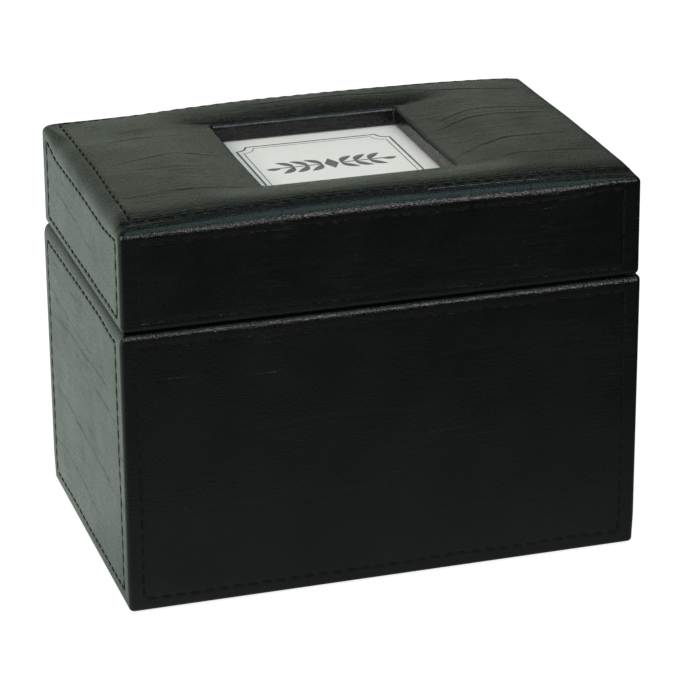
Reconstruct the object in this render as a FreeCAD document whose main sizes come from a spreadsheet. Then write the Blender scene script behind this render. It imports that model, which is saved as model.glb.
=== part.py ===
import FreeCAD, Part
import os
from math import radians, tan

import Sketcher

# Index-card box: a rigid greyboard box and its deep, padded lid, each wrapped in leather, lined
# inside, and joined along the back by a leather hinge strip. A window in the padded top shows a
# label card. Millimetres. +X runs along the width, +Y to the back (hinge side), +Z up; the origin
# is under the middle of the whole object.

doc = FreeCAD.newDocument("CardBox")

# ---------------------------------------------------------------- driving sizes
SIZES = (
    ("box_width", 178.0, "outside width, over the leather"),
    ("box_depth", 116.0, "outside depth, over the leather"),
    ("edge_height", 135.2, "height of the lid's top along its edges"),
    ("pillow_rise", 1.6, "how far the padded top rises from its edges to its middle"),
    ("pillow_margin", 7.0, "foot of that rise, in from the outside"),
    ("pillow_run", 10.0, "width of that rise"),
    ("seam_height", 98.6, "height of the middle of the seam between box and lid"),
    ("seam_gap", 0.3, "gap between the two rims when the lid is shut"),
    ("corner_round", 3.0, "radius of the upright corners"),
    ("foot_round", 1.5, "radius round the bottom edge"),
    ("rim_round", 2.2, "radius of both rims at the seam, outside"),
    ("lid_round", 6.0, "radius round the lid's top edge"),
    ("leather_thick", 1.2, "leather of the two covers"),
    ("turnin_thick", 0.8, "leather pared down where it is turned in"),
    ("turnin_length", 14.0, "how far the leather reaches down inside a rim"),
    ("turnunder_width", 14.0, "how far the leather reaches in under the bottom"),
    ("board_thick", 2.5, "greyboard of every wall, the floor and the top"),
    ("board_round", 1.0, "rounded outer edge on top of the lid's walls"),
    ("lining_thick", 0.8, "lining where it lies on the turned-in leather"),
    ("lining_drop", 3.5, "how far each wall lining stops short of its rim"),
    ("floor_lining_thick", 1.0, "lining panels of the floor and of the lid's top"),
    ("sheet_thick", 0.5, "bottom sheet where it lies on the turned-under leather"),
    ("sheet_margin", 4.0, "bottom sheet's distance from the outer edge"),
    ("pad_edge_thick", 2.0, "padding over the top board along the lid's edges"),
    ("pad_lip_thick", 1.0, "padding under the leather at the window's lip"),
    ("top_board_inset", 0.6, "top board's edge behind the outside of the lid's walls"),
    ("window_width", 66.0, "window between its leather sides"),
    ("window_depth", 66.0, "window between its leather front and back"),
    ("window_setback", 2.5, "window's middle behind the lid's middle"),
    ("window_corner", 2.0, "radius of the window's corners"),
    ("window_roll", 2.2, "radius of the leather rolled over the window's edge"),
    ("dip_reach", 14.0, "width of the slope that sinks towards the window"),
    ("flange_width", 8.0, "leather turned out under the top board at the window"),
    ("film_margin", 6.0, "film's overlap on that flange"),
    ("film_thick", 0.4, "clear window film"),
    ("card_margin", 5.0, "label card's overlap on that flange"),
    ("card_thick", 0.4, "label card"),
    ("fit_gap", 0.3, "clearance round loose-fitting sheets and boards"),
    ("hinge_thick", 0.8, "leather of the hinge strip"),
    ("hinge_height", 26.0, "hinge strip, half above and half below the seam"),
    ("hinge_margin", 12.0, "hinge strip's end to the side of the box"),
)

sheet = doc.addObject("Spreadsheet::Sheet", "Sizes")
for row, (alias, value, meaning) in enumerate(SIZES, start=1):
    sheet.set(f"A{row}", alias)
    sheet.set(f"B{row}", str(value))
    sheet.set(f"C{row}", meaning)
    sheet.setAlias(f"B{row}", alias)
doc.recompute()


def size(alias):
    """The expression that reads one cell of the sheet."""
    return f"Sizes.{alias}"


def number(expression):
    """An expression's value now, for the few settings that take no expression."""
    return float(sheet.evalExpression(expression.replace("Sizes.", "")))


# ---------------------------------------------------------------- derived places, as expressions
WIDTH, DEPTH = size("box_width"), size("box_depth")
LEATHER, BOARD, TURNIN = size("leather_thick"), size("board_thick"), size("turnin_thick")
LINING = size("lining_thick")

# The hinge strip stands out at the back, so the box's own middle is half its thickness forward.
MIDDLE = f"(-{size('hinge_thick')} / 2)"

# Distances in from the outside of a wall
WALL_IN = f"({LEATHER} + {BOARD})"                       # inner face of the wall boards
TURNIN_IN = f"({WALL_IN} + {TURNIN})"                    # inner face of the turned-in leather
LINING_IN = f"({TURNIN_IN} + {LINING})"                  # inner face of the linings

# Heights in the box
COVER_FOOT = size("sheet_thick")
FLOOR_UNDER = f"({COVER_FOOT} + {LEATHER})"
FLOOR_TOP = f"({FLOOR_UNDER} + {BOARD})"
FLOOR_LINED = f"({FLOOR_TOP} + {size('floor_lining_thick')})"
BOX_RIM = f"({size('seam_height')} - {size('seam_gap')} / 2)"

# Heights in the lid
LID_RIM = f"({size('seam_height')} + {size('seam_gap')} / 2)"
TOP_BOARD_TOP = f"({size('edge_height')} - {LEATHER} - {size('pad_edge_thick')})"
TOP_BOARD_UNDER = f"({TOP_BOARD_TOP} - {BOARD})"
FLANGE_UNDER = f"({TOP_BOARD_UNDER} - {TURNIN})"
FILM_UNDER = f"({FLANGE_UNDER} - {size('film_thick')})"
CARD_UNDER = f"({FILM_UNDER} - {size('card_thick')})"
CEILING = f"({CARD_UNDER} - {size('floor_lining_thick')})"
WINDOW_LIP = f"({TOP_BOARD_TOP} + {size('pad_lip_thick')} + {LEATHER})"
PILLOW_TOP = f"({size('edge_height')} + {size('pillow_rise')})"
WINDOW_MIDDLE = f"({MIDDLE} + {size('window_setback')})"

UP = FreeCAD.Vector(0, 0, 1)


# ---------------------------------------------------------------- small tools
def bind(thing, **expressions):
    """Ties properties to expressions; a double underscore stands for a dot."""
    for prop, expression in expressions.items():
        thing.setExpression(prop.replace("__", "."), expression)


def within(span, inset):
    """A span less the same inset at both of its ends."""
    return f"({span} - 2 * {inset})"


def block(name, wide, deep, low, high, across="0", back=MIDDLE):
    """A box about the point (across, back), from one height to another."""
    box = doc.addObject("Part::Box", name)
    bind(box, Length=wide, Width=deep, Height=f"{high} - {low}",
         Placement__Base__x=f"{across} - ({wide}) / 2",
         Placement__Base__y=f"{back} - ({deep}) / 2",
         Placement__Base__z=low)
    return box


def cut(name, base, tool):
    """One solid less another."""
    result = doc.addObject("Part::Cut", name)
    result.Base, result.Tool = base, tool
    return result


def join(name, *parts):
    """Solids made into one, with no line left between flush faces."""
    result = doc.addObject("Part::MultiFuse", name)
    result.Shapes, result.Refine = list(parts), True
    return result


def overlap(name, *parts):
    """What several solids share."""
    result = doc.addObject("Part::MultiCommon", name)
    result.Shapes = list(parts)
    return result


def heights(edge):
    """Lowest and highest end of an edge."""
    ends = [vertex.Z for vertex in edge.Vertexes]
    return min(ends), max(ends)


def upright(edge):
    """Whether an edge stands upright."""
    low, high = heights(edge)
    return high - low > 1.0 and edge.BoundBox.XLength + edge.BoundBox.YLength < 0.01


def plane_of(body, role):
    """One of a body's own origin planes."""
    return next(item for item in body.Origin.OriginFeatures if item.Role == role)


def sketch_in(body, name, height="0"):
    """An empty sketch in a body, level with its XY plane and raised by a height."""
    sketch = body.newObject("Sketcher::SketchObject", name)
    sketch.AttachmentSupport = [(plane_of(body, "XY_Plane"), "")]
    sketch.MapMode = "FlatFace"
    bind(sketch, AttachmentOffset__Base__z=height)
    return sketch


def constrain(sketch, *rules):
    """Adds geometric constraints."""
    for rule in rules:
        sketch.addConstraint(Sketcher.Constraint(*rule))


def dimension(sketch, label, expression, kind, *where):
    """Adds a named dimension and ties it to an expression."""
    value = number(expression)
    if kind == "Angle":
        value = radians(value)
    index = sketch.addConstraint(Sketcher.Constraint(kind, *where, value))
    sketch.renameConstraint(index, label)
    sketch.setExpression("Constraints." + label, expression)


def rectangle(sketch, wide, deep, tag=""):
    """A rectangle about the sketch's origin, its two sides bound to expressions."""
    half_x, half_y = number(wide) / 2, number(deep) / 2
    corners = [FreeCAD.Vector(sx * half_x, sy * half_y) for sx, sy in
               ((-1, -1), (1, -1), (1, 1), (-1, 1))]
    sides = sketch.addGeometry([
        Part.LineSegment(a, b) for a, b in zip(corners, corners[1:] + corners[:1])])
    for here, ahead in zip(sides, sides[1:] + sides[:1]):
        constrain(sketch, ("Coincident", here, 2, ahead, 1))
    constrain(sketch, ("Horizontal", sides[0]), ("Vertical", sides[1]), ("Horizontal", sides[2]),
              ("Vertical", sides[3]), ("Symmetric", sides[0], 1, sides[2], 1, -1, 1))
    dimension(sketch, "Wide" + tag, wide, "Distance", sides[0])
    dimension(sketch, "Deep" + tag, deep, "Distance", sides[1])


def rounded_rectangle(sketch, wide, deep, corner):
    """A rectangle with rounded corners about the sketch's origin, bound to expressions."""
    radius = number(corner)
    flat_x, flat_y = number(wide) / 2 - radius, number(deep) / 2 - radius
    turns = []
    for quarter, (sx, sy) in enumerate(((1, -1), (1, 1), (-1, 1), (-1, -1))):
        centre = FreeCAD.Vector(sx * flat_x, sy * flat_y)
        turns.append(Part.ArcOfCircle(Part.Circle(centre, UP, radius),
                                      radians(90 * quarter - 90), radians(90 * quarter)))
    sides = [Part.LineSegment(before.EndPoint, after.StartPoint)
             for before, after in zip(turns[-1:] + turns[:-1], turns)]
    side, turn = sketch.addGeometry(sides), sketch.addGeometry(turns)
    for i in range(4):
        constrain(sketch, ("Tangent", side[i], 2, turn[i], 1),
                  ("Tangent", turn[i], 2, side[(i + 1) % 4], 1))
    constrain(sketch, ("Horizontal", side[0]), ("Vertical", side[1]), ("Horizontal", side[2]),
              ("Vertical", side[3]), ("Equal", turn[0], turn[1]), ("Equal", turn[1], turn[2]),
              ("Equal", turn[2], turn[3]), ("Symmetric", turn[0], 3, turn[2], 3, -1, 1))
    dimension(sketch, "Corner", corner, "Radius", turn[0])
    dimension(sketch, "Wide", wide, "DistanceX", side[3], 1, side[1], 1)
    dimension(sketch, "Deep", deep, "DistanceY", side[0], 1, side[2], 1)


def pad(body, sketch, tall):
    """Raises a sketch into a solid."""
    feature = body.newObject("PartDesign::Pad", sketch.Name + "Pad")
    feature.Profile = sketch
    bind(feature, Length=tall)
    doc.recompute()
    return feature


def pocket(body, sketch, deep, upward=False):
    """Cuts a sketch's outline down, or up, and makes sure that something was cut."""
    before = body.Shape.Volume
    feature = body.newObject("PartDesign::Pocket", sketch.Name + "Pocket")
    feature.Profile = sketch
    feature.Reversed = upward
    bind(feature, Length=deep)
    doc.recompute()
    if body.Shape.Volume > before - 1.0:
        raise RuntimeError(feature.Name + " cut nothing")
    return feature


def round_edges(body, name, radius, wanted):
    """Rounds those of a body's edges that a test picks."""
    base = body.Tip
    names = [f"Edge{i}" for i, edge in enumerate(base.Shape.Edges, start=1) if wanted(edge)]
    feature = body.newObject("PartDesign::Fillet", name)
    feature.Base = (base, names)
    bind(feature, Radius=radius)
    doc.recompute()
    return feature


def new_body(name, x="0", y=MIDDLE, z="0"):
    """An empty body whose own origin stands at a bound place."""
    body = doc.addObject("PartDesign::Body", name)
    body.Label = name
    bind(body, Placement__Base__x=x, Placement__Base__y=y, Placement__Base__z=z)
    return body


PIECES = []


def piece(shape_object, name):
    """Names a finished piece and puts it on the list to be written."""
    shape_object.Label = name
    PIECES.append(shape_object)
    return shape_object


# ---------------------------------------------------------------- greyboard
def plain_board(name, wide, deep, low, high, x="0", y=MIDDLE):
    """A flat rectangular board; returns its body."""
    body = new_body(name, x, y, low)
    outline = sketch_in(body, name + "_outline")
    rectangle(outline, wide, deep)
    pad(body, outline, f"{high} - {low}")
    return piece(body, name)


def wall_boards(prefix, low, high, rounded_top):
    """The four walls: front and rear run the full width, the sides stand between them."""
    reach_y = f"({DEPTH} / 2 - {LEATHER} - {BOARD} / 2)"
    reach_x = f"({WIDTH} / 2 - {LEATHER} - {BOARD} / 2)"
    outer_corner = f"({size('corner_round')} - {LEATHER})"
    half_depth = f"({DEPTH} / 2 - {LEATHER})"
    for side, sign in (("front", -1), ("rear", 1)):
        body = plain_board(f"{prefix}_{side}_board", within(WIDTH, LEATHER), BOARD, low, high,
                           y=f"{MIDDLE} + {sign} * {reach_y}")
        outer = sign * number(BOARD) / 2
        round_edges(body, body.Name + "_corners", outer_corner,
                    lambda edge: upright(edge) and abs(edge.Vertexes[0].Y - outer) < 0.01)
        if rounded_top:
            top = body.Tip.Shape.BoundBox.ZMax
            round_edges(body, body.Name + "_top", size("board_round"),
                        lambda edge: heights(edge)[0] > top - 0.01
                        and sign * edge.CenterOfMass.y > 0.3 * number(BOARD)
                        and edge.Length > 10.0)
    for side, sign in (("left", -1), ("right", 1)):
        body = plain_board(f"{prefix}_{side}_board", BOARD, within(f"(2 * {half_depth})", BOARD),
                           low, high, x=f"{sign} * {reach_x}")
        if rounded_top:
            top = body.Tip.Shape.BoundBox.ZMax
            round_edges(body, body.Name + "_top", size("board_round"),
                        lambda edge: heights(edge)[0] > top - 0.01
                        and sign * edge.CenterOfMass.x > 0.3 * number(BOARD)
                        and edge.Length > 10.0)


def base_floor_board():
    """The floor, under all four walls."""
    body = plain_board("base_floor_board", within(WIDTH, LEATHER), within(DEPTH, LEATHER),
                       FLOOR_UNDER, FLOOR_TOP)
    round_edges(body, "base_floor_board_corners", f"{size('corner_round')} - {LEATHER}", upright)


def lid_top_board():
    """The top, on the lid's four walls, with the window's cut-out and rounded edges."""
    inset = f"({LEATHER} + {size('top_board_inset')})"
    body = plain_board("lid_top_board", within(WIDTH, inset), within(DEPTH, inset),
                       TOP_BOARD_UNDER, TOP_BOARD_TOP)
    round_edges(body, "lid_top_board_corners", f"{size('lid_round')} - {LEATHER}", upright)
    top = body.Tip.Shape.BoundBox.ZMax
    round_edges(body, "lid_top_board_edge", f"min(0.96 * {BOARD}; {size('lid_round')} / 2)",
                lambda edge: heights(edge)[0] > top - 0.01)
    window = sketch_in(body, "lid_top_board_window", BOARD)
    rectangle(window, f"{size('window_width')} + 2 * {LEATHER}",
              f"{size('window_depth')} + 2 * {LEATHER}")
    bind(window, AttachmentOffset__Base__y=size("window_setback"))
    pocket(body, window, f"2 * {BOARD}")
    outside = number(size("window_width")) / 2 + number(LEATHER) + 0.01
    round_edges(body, "lid_top_board_window_corners", f"{size('window_corner')} + {LEATHER}",
                lambda edge: upright(edge) and abs(edge.Vertexes[0].X) < outside)


def lid_infill_board():
    """Levels the underside of the top board round the turned-out leather, film and card."""
    body = plain_board("lid_infill_board", within(WIDTH, WALL_IN), within(DEPTH, WALL_IN),
                       CARD_UNDER, TOP_BOARD_UNDER)
    around = f"({LEATHER} + {size('flange_width')} + {size('fit_gap')})"
    opening = sketch_in(body, "lid_infill_board_opening", f"{TOP_BOARD_UNDER} - {CARD_UNDER}")
    rectangle(opening, f"{size('window_width')} + 2 * {around}",
              f"{size('window_depth')} + 2 * {around}")
    bind(opening, AttachmentOffset__Base__y=size("window_setback"))
    pocket(body, opening, f"2 * ({TOP_BOARD_UNDER} - {CARD_UNDER})")


# ---------------------------------------------------------------- linings
def wall_linings(prefix, rim, inner_end, turned_end, lowered):
    """Four lining panels. Each is thick on the board and steps to the thin part that lies over
    the turned-in leather. The front and rear ones run the full width, the sides stand between."""
    full = f"({TURNIN} + {LINING})"
    short_end = f"({rim} {'-' if lowered else '+'} {size('lining_drop')})"
    thick = (inner_end, turned_end) if lowered else (turned_end, inner_end)
    thin = (turned_end, short_end) if lowered else (short_end, turned_end)
    for side, sign in (("front", -1), ("rear", 1)):
        name = f"{prefix}_{side}_lining"
        on_board = block(name + "_thick", within(WIDTH, WALL_IN), full, *thick,
                         back=f"{MIDDLE} + {sign} * ({DEPTH} / 2 - {WALL_IN} - {full} / 2)")
        on_leather = block(name + "_thin", within(WIDTH, TURNIN_IN), LINING, *thin,
                           back=f"{MIDDLE} + {sign} * ({DEPTH} / 2 - {TURNIN_IN} - {LINING} / 2)")
        piece(join(name, on_board, on_leather), name)
    for side, sign in (("left", -1), ("right", 1)):
        name = f"{prefix}_{side}_lining"
        on_board = block(name + "_thick", full, within(DEPTH, LINING_IN), *thick,
                         across=f"{sign} * ({WIDTH} / 2 - {WALL_IN} - {full} / 2)")
        on_leather = block(name + "_thin", LINING, within(DEPTH, LINING_IN), *thin,
                           across=f"{sign} * ({WIDTH} / 2 - {TURNIN_IN} - {LINING} / 2)")
        piece(join(name, on_board, on_leather), name)


def panel(name, low, high):
    """A lining panel that fills the box between its wall boards."""
    plain_board(name, within(WIDTH, WALL_IN), within(DEPTH, WALL_IN), low, high)


# ---------------------------------------------------------------- base cover and bottom sheet
def base_cover():
    """Leather round the outside, over the rim, down inside it, and under the bottom edge."""
    body = new_body("base_cover", z=COVER_FOOT)
    tall = f"({BOX_RIM} - {COVER_FOOT})"
    outline = sketch_in(body, "base_cover_outline")
    rectangle(outline, WIDTH, DEPTH)
    pad(body, outline, tall)
    top = number(tall)
    round_edges(body, "base_cover_corners", size("corner_round"), upright)
    round_edges(body, "base_cover_foot", size("foot_round"), lambda edge: heights(edge)[1] < 0.01)
    round_edges(body, "base_cover_rim", size("rim_round"),
                lambda edge: heights(edge)[0] > top - 0.01)

    well = sketch_in(body, "base_cover_well", tall)
    rectangle(well, within(WIDTH, TURNIN_IN), within(DEPTH, TURNIN_IN))
    pocket(body, well, f"{tall} - {LEATHER}")

    # The space that the wall boards fill, behind the turned-in leather
    boards = sketch_in(body, "base_cover_boards", f"{tall} - {LEATHER}")
    rectangle(boards, within(WIDTH, LEATHER), within(DEPTH, LEATHER), "Outer")
    rectangle(boards, within(WIDTH, WALL_IN), within(DEPTH, WALL_IN), "Inner")
    pocket(body, boards, f"{size('turnin_length')} - {LEATHER}")

    # Below the turned-in leather the whole inside is open
    inside = sketch_in(body, "base_cover_inside", f"{tall} - {size('turnin_length')}")
    rectangle(inside, within(WIDTH, LEATHER), within(DEPTH, LEATHER))
    pocket(body, inside, f"{tall} - {size('turnin_length')} - {LEATHER}")

    bottom = sketch_in(body, "base_cover_bottom", LEATHER)
    rectangle(bottom, within(WIDTH, f"({LEATHER} + {size('turnunder_width')})"),
              within(DEPTH, f"({LEATHER} + {size('turnunder_width')})"))
    pocket(body, bottom, f"2 * {LEATHER}")

    half_wide = number(WIDTH) / 2 - number(LEATHER)
    round_edges(body, "base_cover_inner_corners", f"{size('corner_round')} - {LEATHER}",
                lambda edge: upright(edge) and abs(abs(edge.Vertexes[0].X) - half_wide) < 0.01)
    piece(body, "base_cover")


def base_bottom_sheet():
    """The sheet that covers the turned-under leather, thicker where it reaches the floor."""
    around = f"({LEATHER} + {size('turnunder_width')} + {size('fit_gap')})"
    low = block("base_bottom_sheet_low", within(WIDTH, size("sheet_margin")),
                within(DEPTH, size("sheet_margin")), "0", COVER_FOOT)
    middle = block("base_bottom_sheet_middle", within(WIDTH, around), within(DEPTH, around),
                   COVER_FOOT, FLOOR_UNDER)
    piece(join("base_bottom_sheet", low, middle), "base_bottom_sheet")


# ---------------------------------------------------------------- lid cover, padding and window
def lid_form(name, inset, low, rim_round):
    """The lid's outside, or a smaller one inside it: upright walls under a top that rises to a
    low pillow, with rounded corners, top edge and, where a radius is given, rim."""
    high = f"({size('edge_height')} - {inset})"
    walls = block(name + "_walls", within(WIDTH, inset), within(DEPTH, inset), low, high)
    doc.recompute()
    corner = number(f"{size('corner_round')} - {inset}")
    top_round = number(f"{size('lid_round')} - {inset}")
    underside = number(low)
    uprights, tops, rims = [], [], []
    for i, edge in enumerate(walls.Shape.Edges, start=1):
        if upright(edge):
            uprights.append((i, corner, corner))
        elif heights(edge)[0] > underside + 1.0:
            tops.append((i, top_round, top_round))
        elif rim_round:
            rims.append((i, number(rim_round), number(rim_round)))
    rounded = doc.addObject("Part::Fillet", name + "_rounded")
    rounded.Base, rounded.Edges = walls, uprights + tops + rims

    # A wedge stands on its local XZ plane, so it is tipped up to stand on XY.
    pillow = doc.addObject("Part::Wedge", name + "_pillow")
    pillow.Placement.Rotation = FreeCAD.Rotation(FreeCAD.Vector(1, 0, 0), 90)
    bind(pillow, Placement__Base__y=MIDDLE, Placement__Base__z=high,
         Ymin="0", Ymax=size("pillow_rise"))
    crest = f"({size('pillow_margin')} + {size('pillow_run')})"
    for axis, span in (("X", WIDTH), ("Z", DEPTH)):
        foot_half = f"({span} / 2 - {size('pillow_margin')})"
        crest_half = f"({span} / 2 - {crest})"
        bind(pillow, **{axis + "min": f"-{foot_half}", axis + "max": foot_half,
                        axis + "2min": f"-{crest_half}", axis + "2max": crest_half})
    return join(name, rounded, pillow)


def rounded_window(name, inset, low, high):
    """An upright rounded block: the window's opening, grown by an inset on every side."""
    opening = block(name + "_block", f"{size('window_width')} + 2 * {inset}",
                    f"{size('window_depth')} + 2 * {inset}", low, high, back=WINDOW_MIDDLE)
    doc.recompute()
    radius = number(f"{size('window_corner')} + {inset}")
    form = doc.addObject("Part::Fillet", name)
    form.Base = opening
    form.Edges = [(i, radius, radius) for i, edge in enumerate(opening.Shape.Edges, start=1)
                  if upright(edge)]
    return form


def window_path():
    """The window's outline seen from above, which the rolled edge and the slope follow."""
    path = doc.addObject("Sketcher::SketchObject", "window_path")
    bind(path, Placement__Base__y=WINDOW_MIDDLE,
         Placement__Base__z=f"{WINDOW_LIP} - {size('window_roll')}")
    rounded_rectangle(path, size("window_width"), size("window_depth"), size("window_corner"))
    return path


def window_flare(name, path, inset):
    """All that lies over the window's rolled edge and over the slope that sinks towards it, swept
    round the window. With an inset it runs that far below the leather's outer surface."""
    roll, side = size("window_roll"), f"({size('window_width')} / 2)"
    run = f"({size('dip_reach')} - {roll})"
    lean = f"atan(({PILLOW_TOP} - {WINDOW_LIP}) / {run})"
    near, far = f"{side} + {inset}", f"{side} + {size('dip_reach')}"
    axis, over = f"{WINDOW_LIP} - {roll}", f"{PILLOW_TOP} + 1"
    radius = f"{roll} - {inset}"

    centre = FreeCAD.Vector(number(f"{side} + {roll}"), number(axis))
    start = radians(90 + number(lean))
    arc = Part.ArcOfCircle(Part.Circle(centre, UP, number(radius)), start, radians(180))
    foot = FreeCAD.Vector(number(near), centre.y)
    head = FreeCAD.Vector(number(near), number(over))
    rise = (number(far) - arc.StartPoint.x) * tan(radians(number(lean)))
    end = FreeCAD.Vector(number(far), arc.StartPoint.y + rise)
    corner = FreeCAD.Vector(number(far), number(over))

    profile = doc.addObject("Sketcher::SketchObject", name + "_profile")
    profile.Placement.Rotation = FreeCAD.Rotation(FreeCAD.Vector(1, 0, 0), 90)
    bind(profile, Placement__Base__y=WINDOW_MIDDLE)
    wall, turn, slope, outer, top = profile.addGeometry([
        Part.LineSegment(head, foot), arc, Part.LineSegment(arc.StartPoint, end),
        Part.LineSegment(end, corner), Part.LineSegment(corner, head)])
    constrain(profile, ("Tangent", wall, 2, turn, 2), ("Tangent", slope, 1, turn, 1),
              ("Coincident", slope, 2, outer, 1), ("Coincident", outer, 2, top, 1),
              ("Coincident", top, 2, wall, 1), ("Vertical", wall), ("Vertical", outer),
              ("Horizontal", top))
    dimension(profile, "Near", near, "DistanceX", -1, 1, wall, 1)
    dimension(profile, "Far", far, "DistanceX", -1, 1, outer, 1)
    dimension(profile, "Axis", axis, "DistanceY", -1, 1, turn, 3)
    dimension(profile, "Over", over, "DistanceY", -1, 1, top, 1)
    dimension(profile, "Roll", radius, "Radius", turn)
    dimension(profile, "Lean", lean, "Angle", slope)

    flare = doc.addObject("Part::Sweep", name)
    flare.Sections, flare.Spine, flare.Solid = [profile], (path, []), True
    return flare


def lid_cover_and_padding():
    """The lid's leather, turned in at its rim and down through the window, and the foam that
    fills it above the top board."""
    above = f"({PILLOW_TOP} + 1)"
    path = window_path()
    outside = lid_form("lid_outside", "0", LID_RIM, size("rim_round"))
    inside = lid_form("lid_inside", LEATHER, f"({LID_RIM} + {LEATHER})", None)

    hole = join("window_hole", window_flare("window_flare", path, "0"),
                rounded_window("window_opening", "0", f"({FLANGE_UNDER} - 1)", above))
    sleeve = join("window_sleeve", window_flare("window_flare_under", path, LEATHER),
                  rounded_window("window_sleeve_block", LEATHER, FLANGE_UNDER, above))
    flange_reach = f"({LEATHER} + {size('flange_width')})"
    flange = block("window_flange", f"{size('window_width')} + 2 * {flange_reach}",
                   f"{size('window_depth')} + 2 * {flange_reach}", FLANGE_UNDER, TOP_BOARD_UNDER,
                   back=WINDOW_MIDDLE)
    turned_end = f"({LID_RIM} + {size('turnin_length')})"
    turned = block("lid_turnin", within(WIDTH, WALL_IN), within(DEPTH, WALL_IN),
                   LID_RIM, turned_end)
    well = block("lid_well", within(WIDTH, TURNIN_IN), within(DEPTH, TURNIN_IN),
                 f"({LID_RIM} - 1)", turned_end)

    room = cut("lid_room", inside, join("lid_leather_inside", sleeve, flange, turned))
    skin = cut("lid_skin", outside, hole)
    piece(cut("lid_cover", skin, join("lid_hollow", room, well)), "lid_cover")

    above_board = block("above_top_board", WIDTH, DEPTH, TOP_BOARD_TOP, above)
    piece(overlap("lid_padding", room, above_board), "lid_padding")


def window_sheet(name, margin, low, high):
    """A flat sheet that laps the leather turned out round the window."""
    reach = f"({LEATHER} + {margin})"
    piece(block(name, f"{size('window_width')} + 2 * {reach}",
                f"{size('window_depth')} + 2 * {reach}", low, high, back=WINDOW_MIDDLE), name)


# ---------------------------------------------------------------- hinge
def hinge_strip():
    """Leather glued and sewn across the seam at the back; it bends as the lid opens."""
    half = f"({size('hinge_height')} / 2)"
    piece(block("hinge_strip", within(WIDTH, size("hinge_margin")), size("hinge_thick"),
                f"({size('seam_height')} - {half})", f"({size('seam_height')} + {half})",
                back=f"{MIDDLE} + {DEPTH} / 2 + {size('hinge_thick')} / 2"), "hinge_strip")


def finish():
    """Checks every object, then writes each piece."""
    doc.recompute()
    for thing in doc.Objects:
        if {"Invalid", "Error"} & set(thing.State):
            raise RuntimeError(f"{thing.Name} is {thing.State}")
    os.makedirs("parts", exist_ok=True)
    for thing in PIECES:
        shape = thing.Shape
        if shape.isNull() or not shape.isValid() or len(shape.Solids) != 1:
            raise RuntimeError(f"{thing.Label} is no valid single solid")
        shape.exportStep(f"parts/{thing.Label}.step")
        print(f"{thing.Label:24s} {shape.Volume / 1000:8.2f} cm3")


base_floor_board()
wall_boards("base", FLOOR_TOP, f"({BOX_RIM} - {LEATHER})", rounded_top=False)
base_cover()
base_bottom_sheet()
panel("base_floor_lining", FLOOR_TOP, FLOOR_LINED)
wall_linings("base", BOX_RIM, FLOOR_LINED, f"({BOX_RIM} - {size('turnin_length')})", lowered=True)

lid_top_board()
wall_boards("lid", f"({LID_RIM} + {LEATHER})", TOP_BOARD_UNDER, rounded_top=True)
lid_cover_and_padding()
window_sheet("window_film", size("film_margin"), FILM_UNDER, FLANGE_UNDER)
window_sheet("label_card", size("card_margin"), CARD_UNDER, FILM_UNDER)
lid_infill_board()
panel("lid_top_lining", CEILING, CARD_UNDER)
wall_linings("lid", LID_RIM, CEILING, f"({LID_RIM} + {size('turnin_length')})", lowered=False)

hinge_strip()
finish()
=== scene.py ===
# %% [markdown]
# # A leather box for index cards
# The box is greyboard covered in black bonded leather, stitched round every face, with a deep
# hinged lid and a padded top round a small label window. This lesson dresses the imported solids:
# the leather, its stitching, the foam, the linings, the felt foot and the label are made here,
# and the boards and the clear film keep their solids and only get a finish.

import math

import bpy
import numpy as np
from mathutils import Matrix, Vector


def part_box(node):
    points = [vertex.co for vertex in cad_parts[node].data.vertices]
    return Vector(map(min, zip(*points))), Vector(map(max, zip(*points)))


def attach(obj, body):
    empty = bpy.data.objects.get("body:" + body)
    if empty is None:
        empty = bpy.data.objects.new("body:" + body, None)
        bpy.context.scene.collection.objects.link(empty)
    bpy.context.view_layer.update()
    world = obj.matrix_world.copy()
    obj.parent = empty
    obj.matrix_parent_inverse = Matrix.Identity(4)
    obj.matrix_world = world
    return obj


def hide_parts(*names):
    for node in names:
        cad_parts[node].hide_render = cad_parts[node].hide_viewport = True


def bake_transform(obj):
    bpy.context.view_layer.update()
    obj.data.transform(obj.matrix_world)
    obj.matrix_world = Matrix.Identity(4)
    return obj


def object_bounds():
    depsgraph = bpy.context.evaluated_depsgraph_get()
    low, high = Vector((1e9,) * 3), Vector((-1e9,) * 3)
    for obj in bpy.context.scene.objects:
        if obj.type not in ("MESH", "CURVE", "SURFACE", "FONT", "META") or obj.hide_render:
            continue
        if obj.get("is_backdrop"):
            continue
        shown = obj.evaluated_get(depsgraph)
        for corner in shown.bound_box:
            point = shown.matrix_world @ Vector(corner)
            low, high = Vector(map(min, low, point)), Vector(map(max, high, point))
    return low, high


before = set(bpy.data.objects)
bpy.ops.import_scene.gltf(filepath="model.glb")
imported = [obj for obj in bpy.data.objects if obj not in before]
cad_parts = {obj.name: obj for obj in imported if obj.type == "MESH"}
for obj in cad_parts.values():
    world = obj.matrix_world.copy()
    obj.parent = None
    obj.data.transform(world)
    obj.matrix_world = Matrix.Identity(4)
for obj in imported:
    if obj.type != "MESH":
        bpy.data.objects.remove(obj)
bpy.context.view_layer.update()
MM = 0.001

# %% [markdown]
# ## Camera
# A long lens from the front left, a little above the lid, as a catalogue shows a box. A short
# lens nearer by would splay the upright edges, and a long one keeps them nearly parallel. The
# place is in millimetres from the row's origin, and the aim is a heading, a tilt and a roll.

# %% Make the camera
CAMERA_AT = (-293.38, -967.87, 465.96)
HEADING, TILT, ROLL = -17.155, 68.161, -0.406
LENS = 161.62


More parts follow.
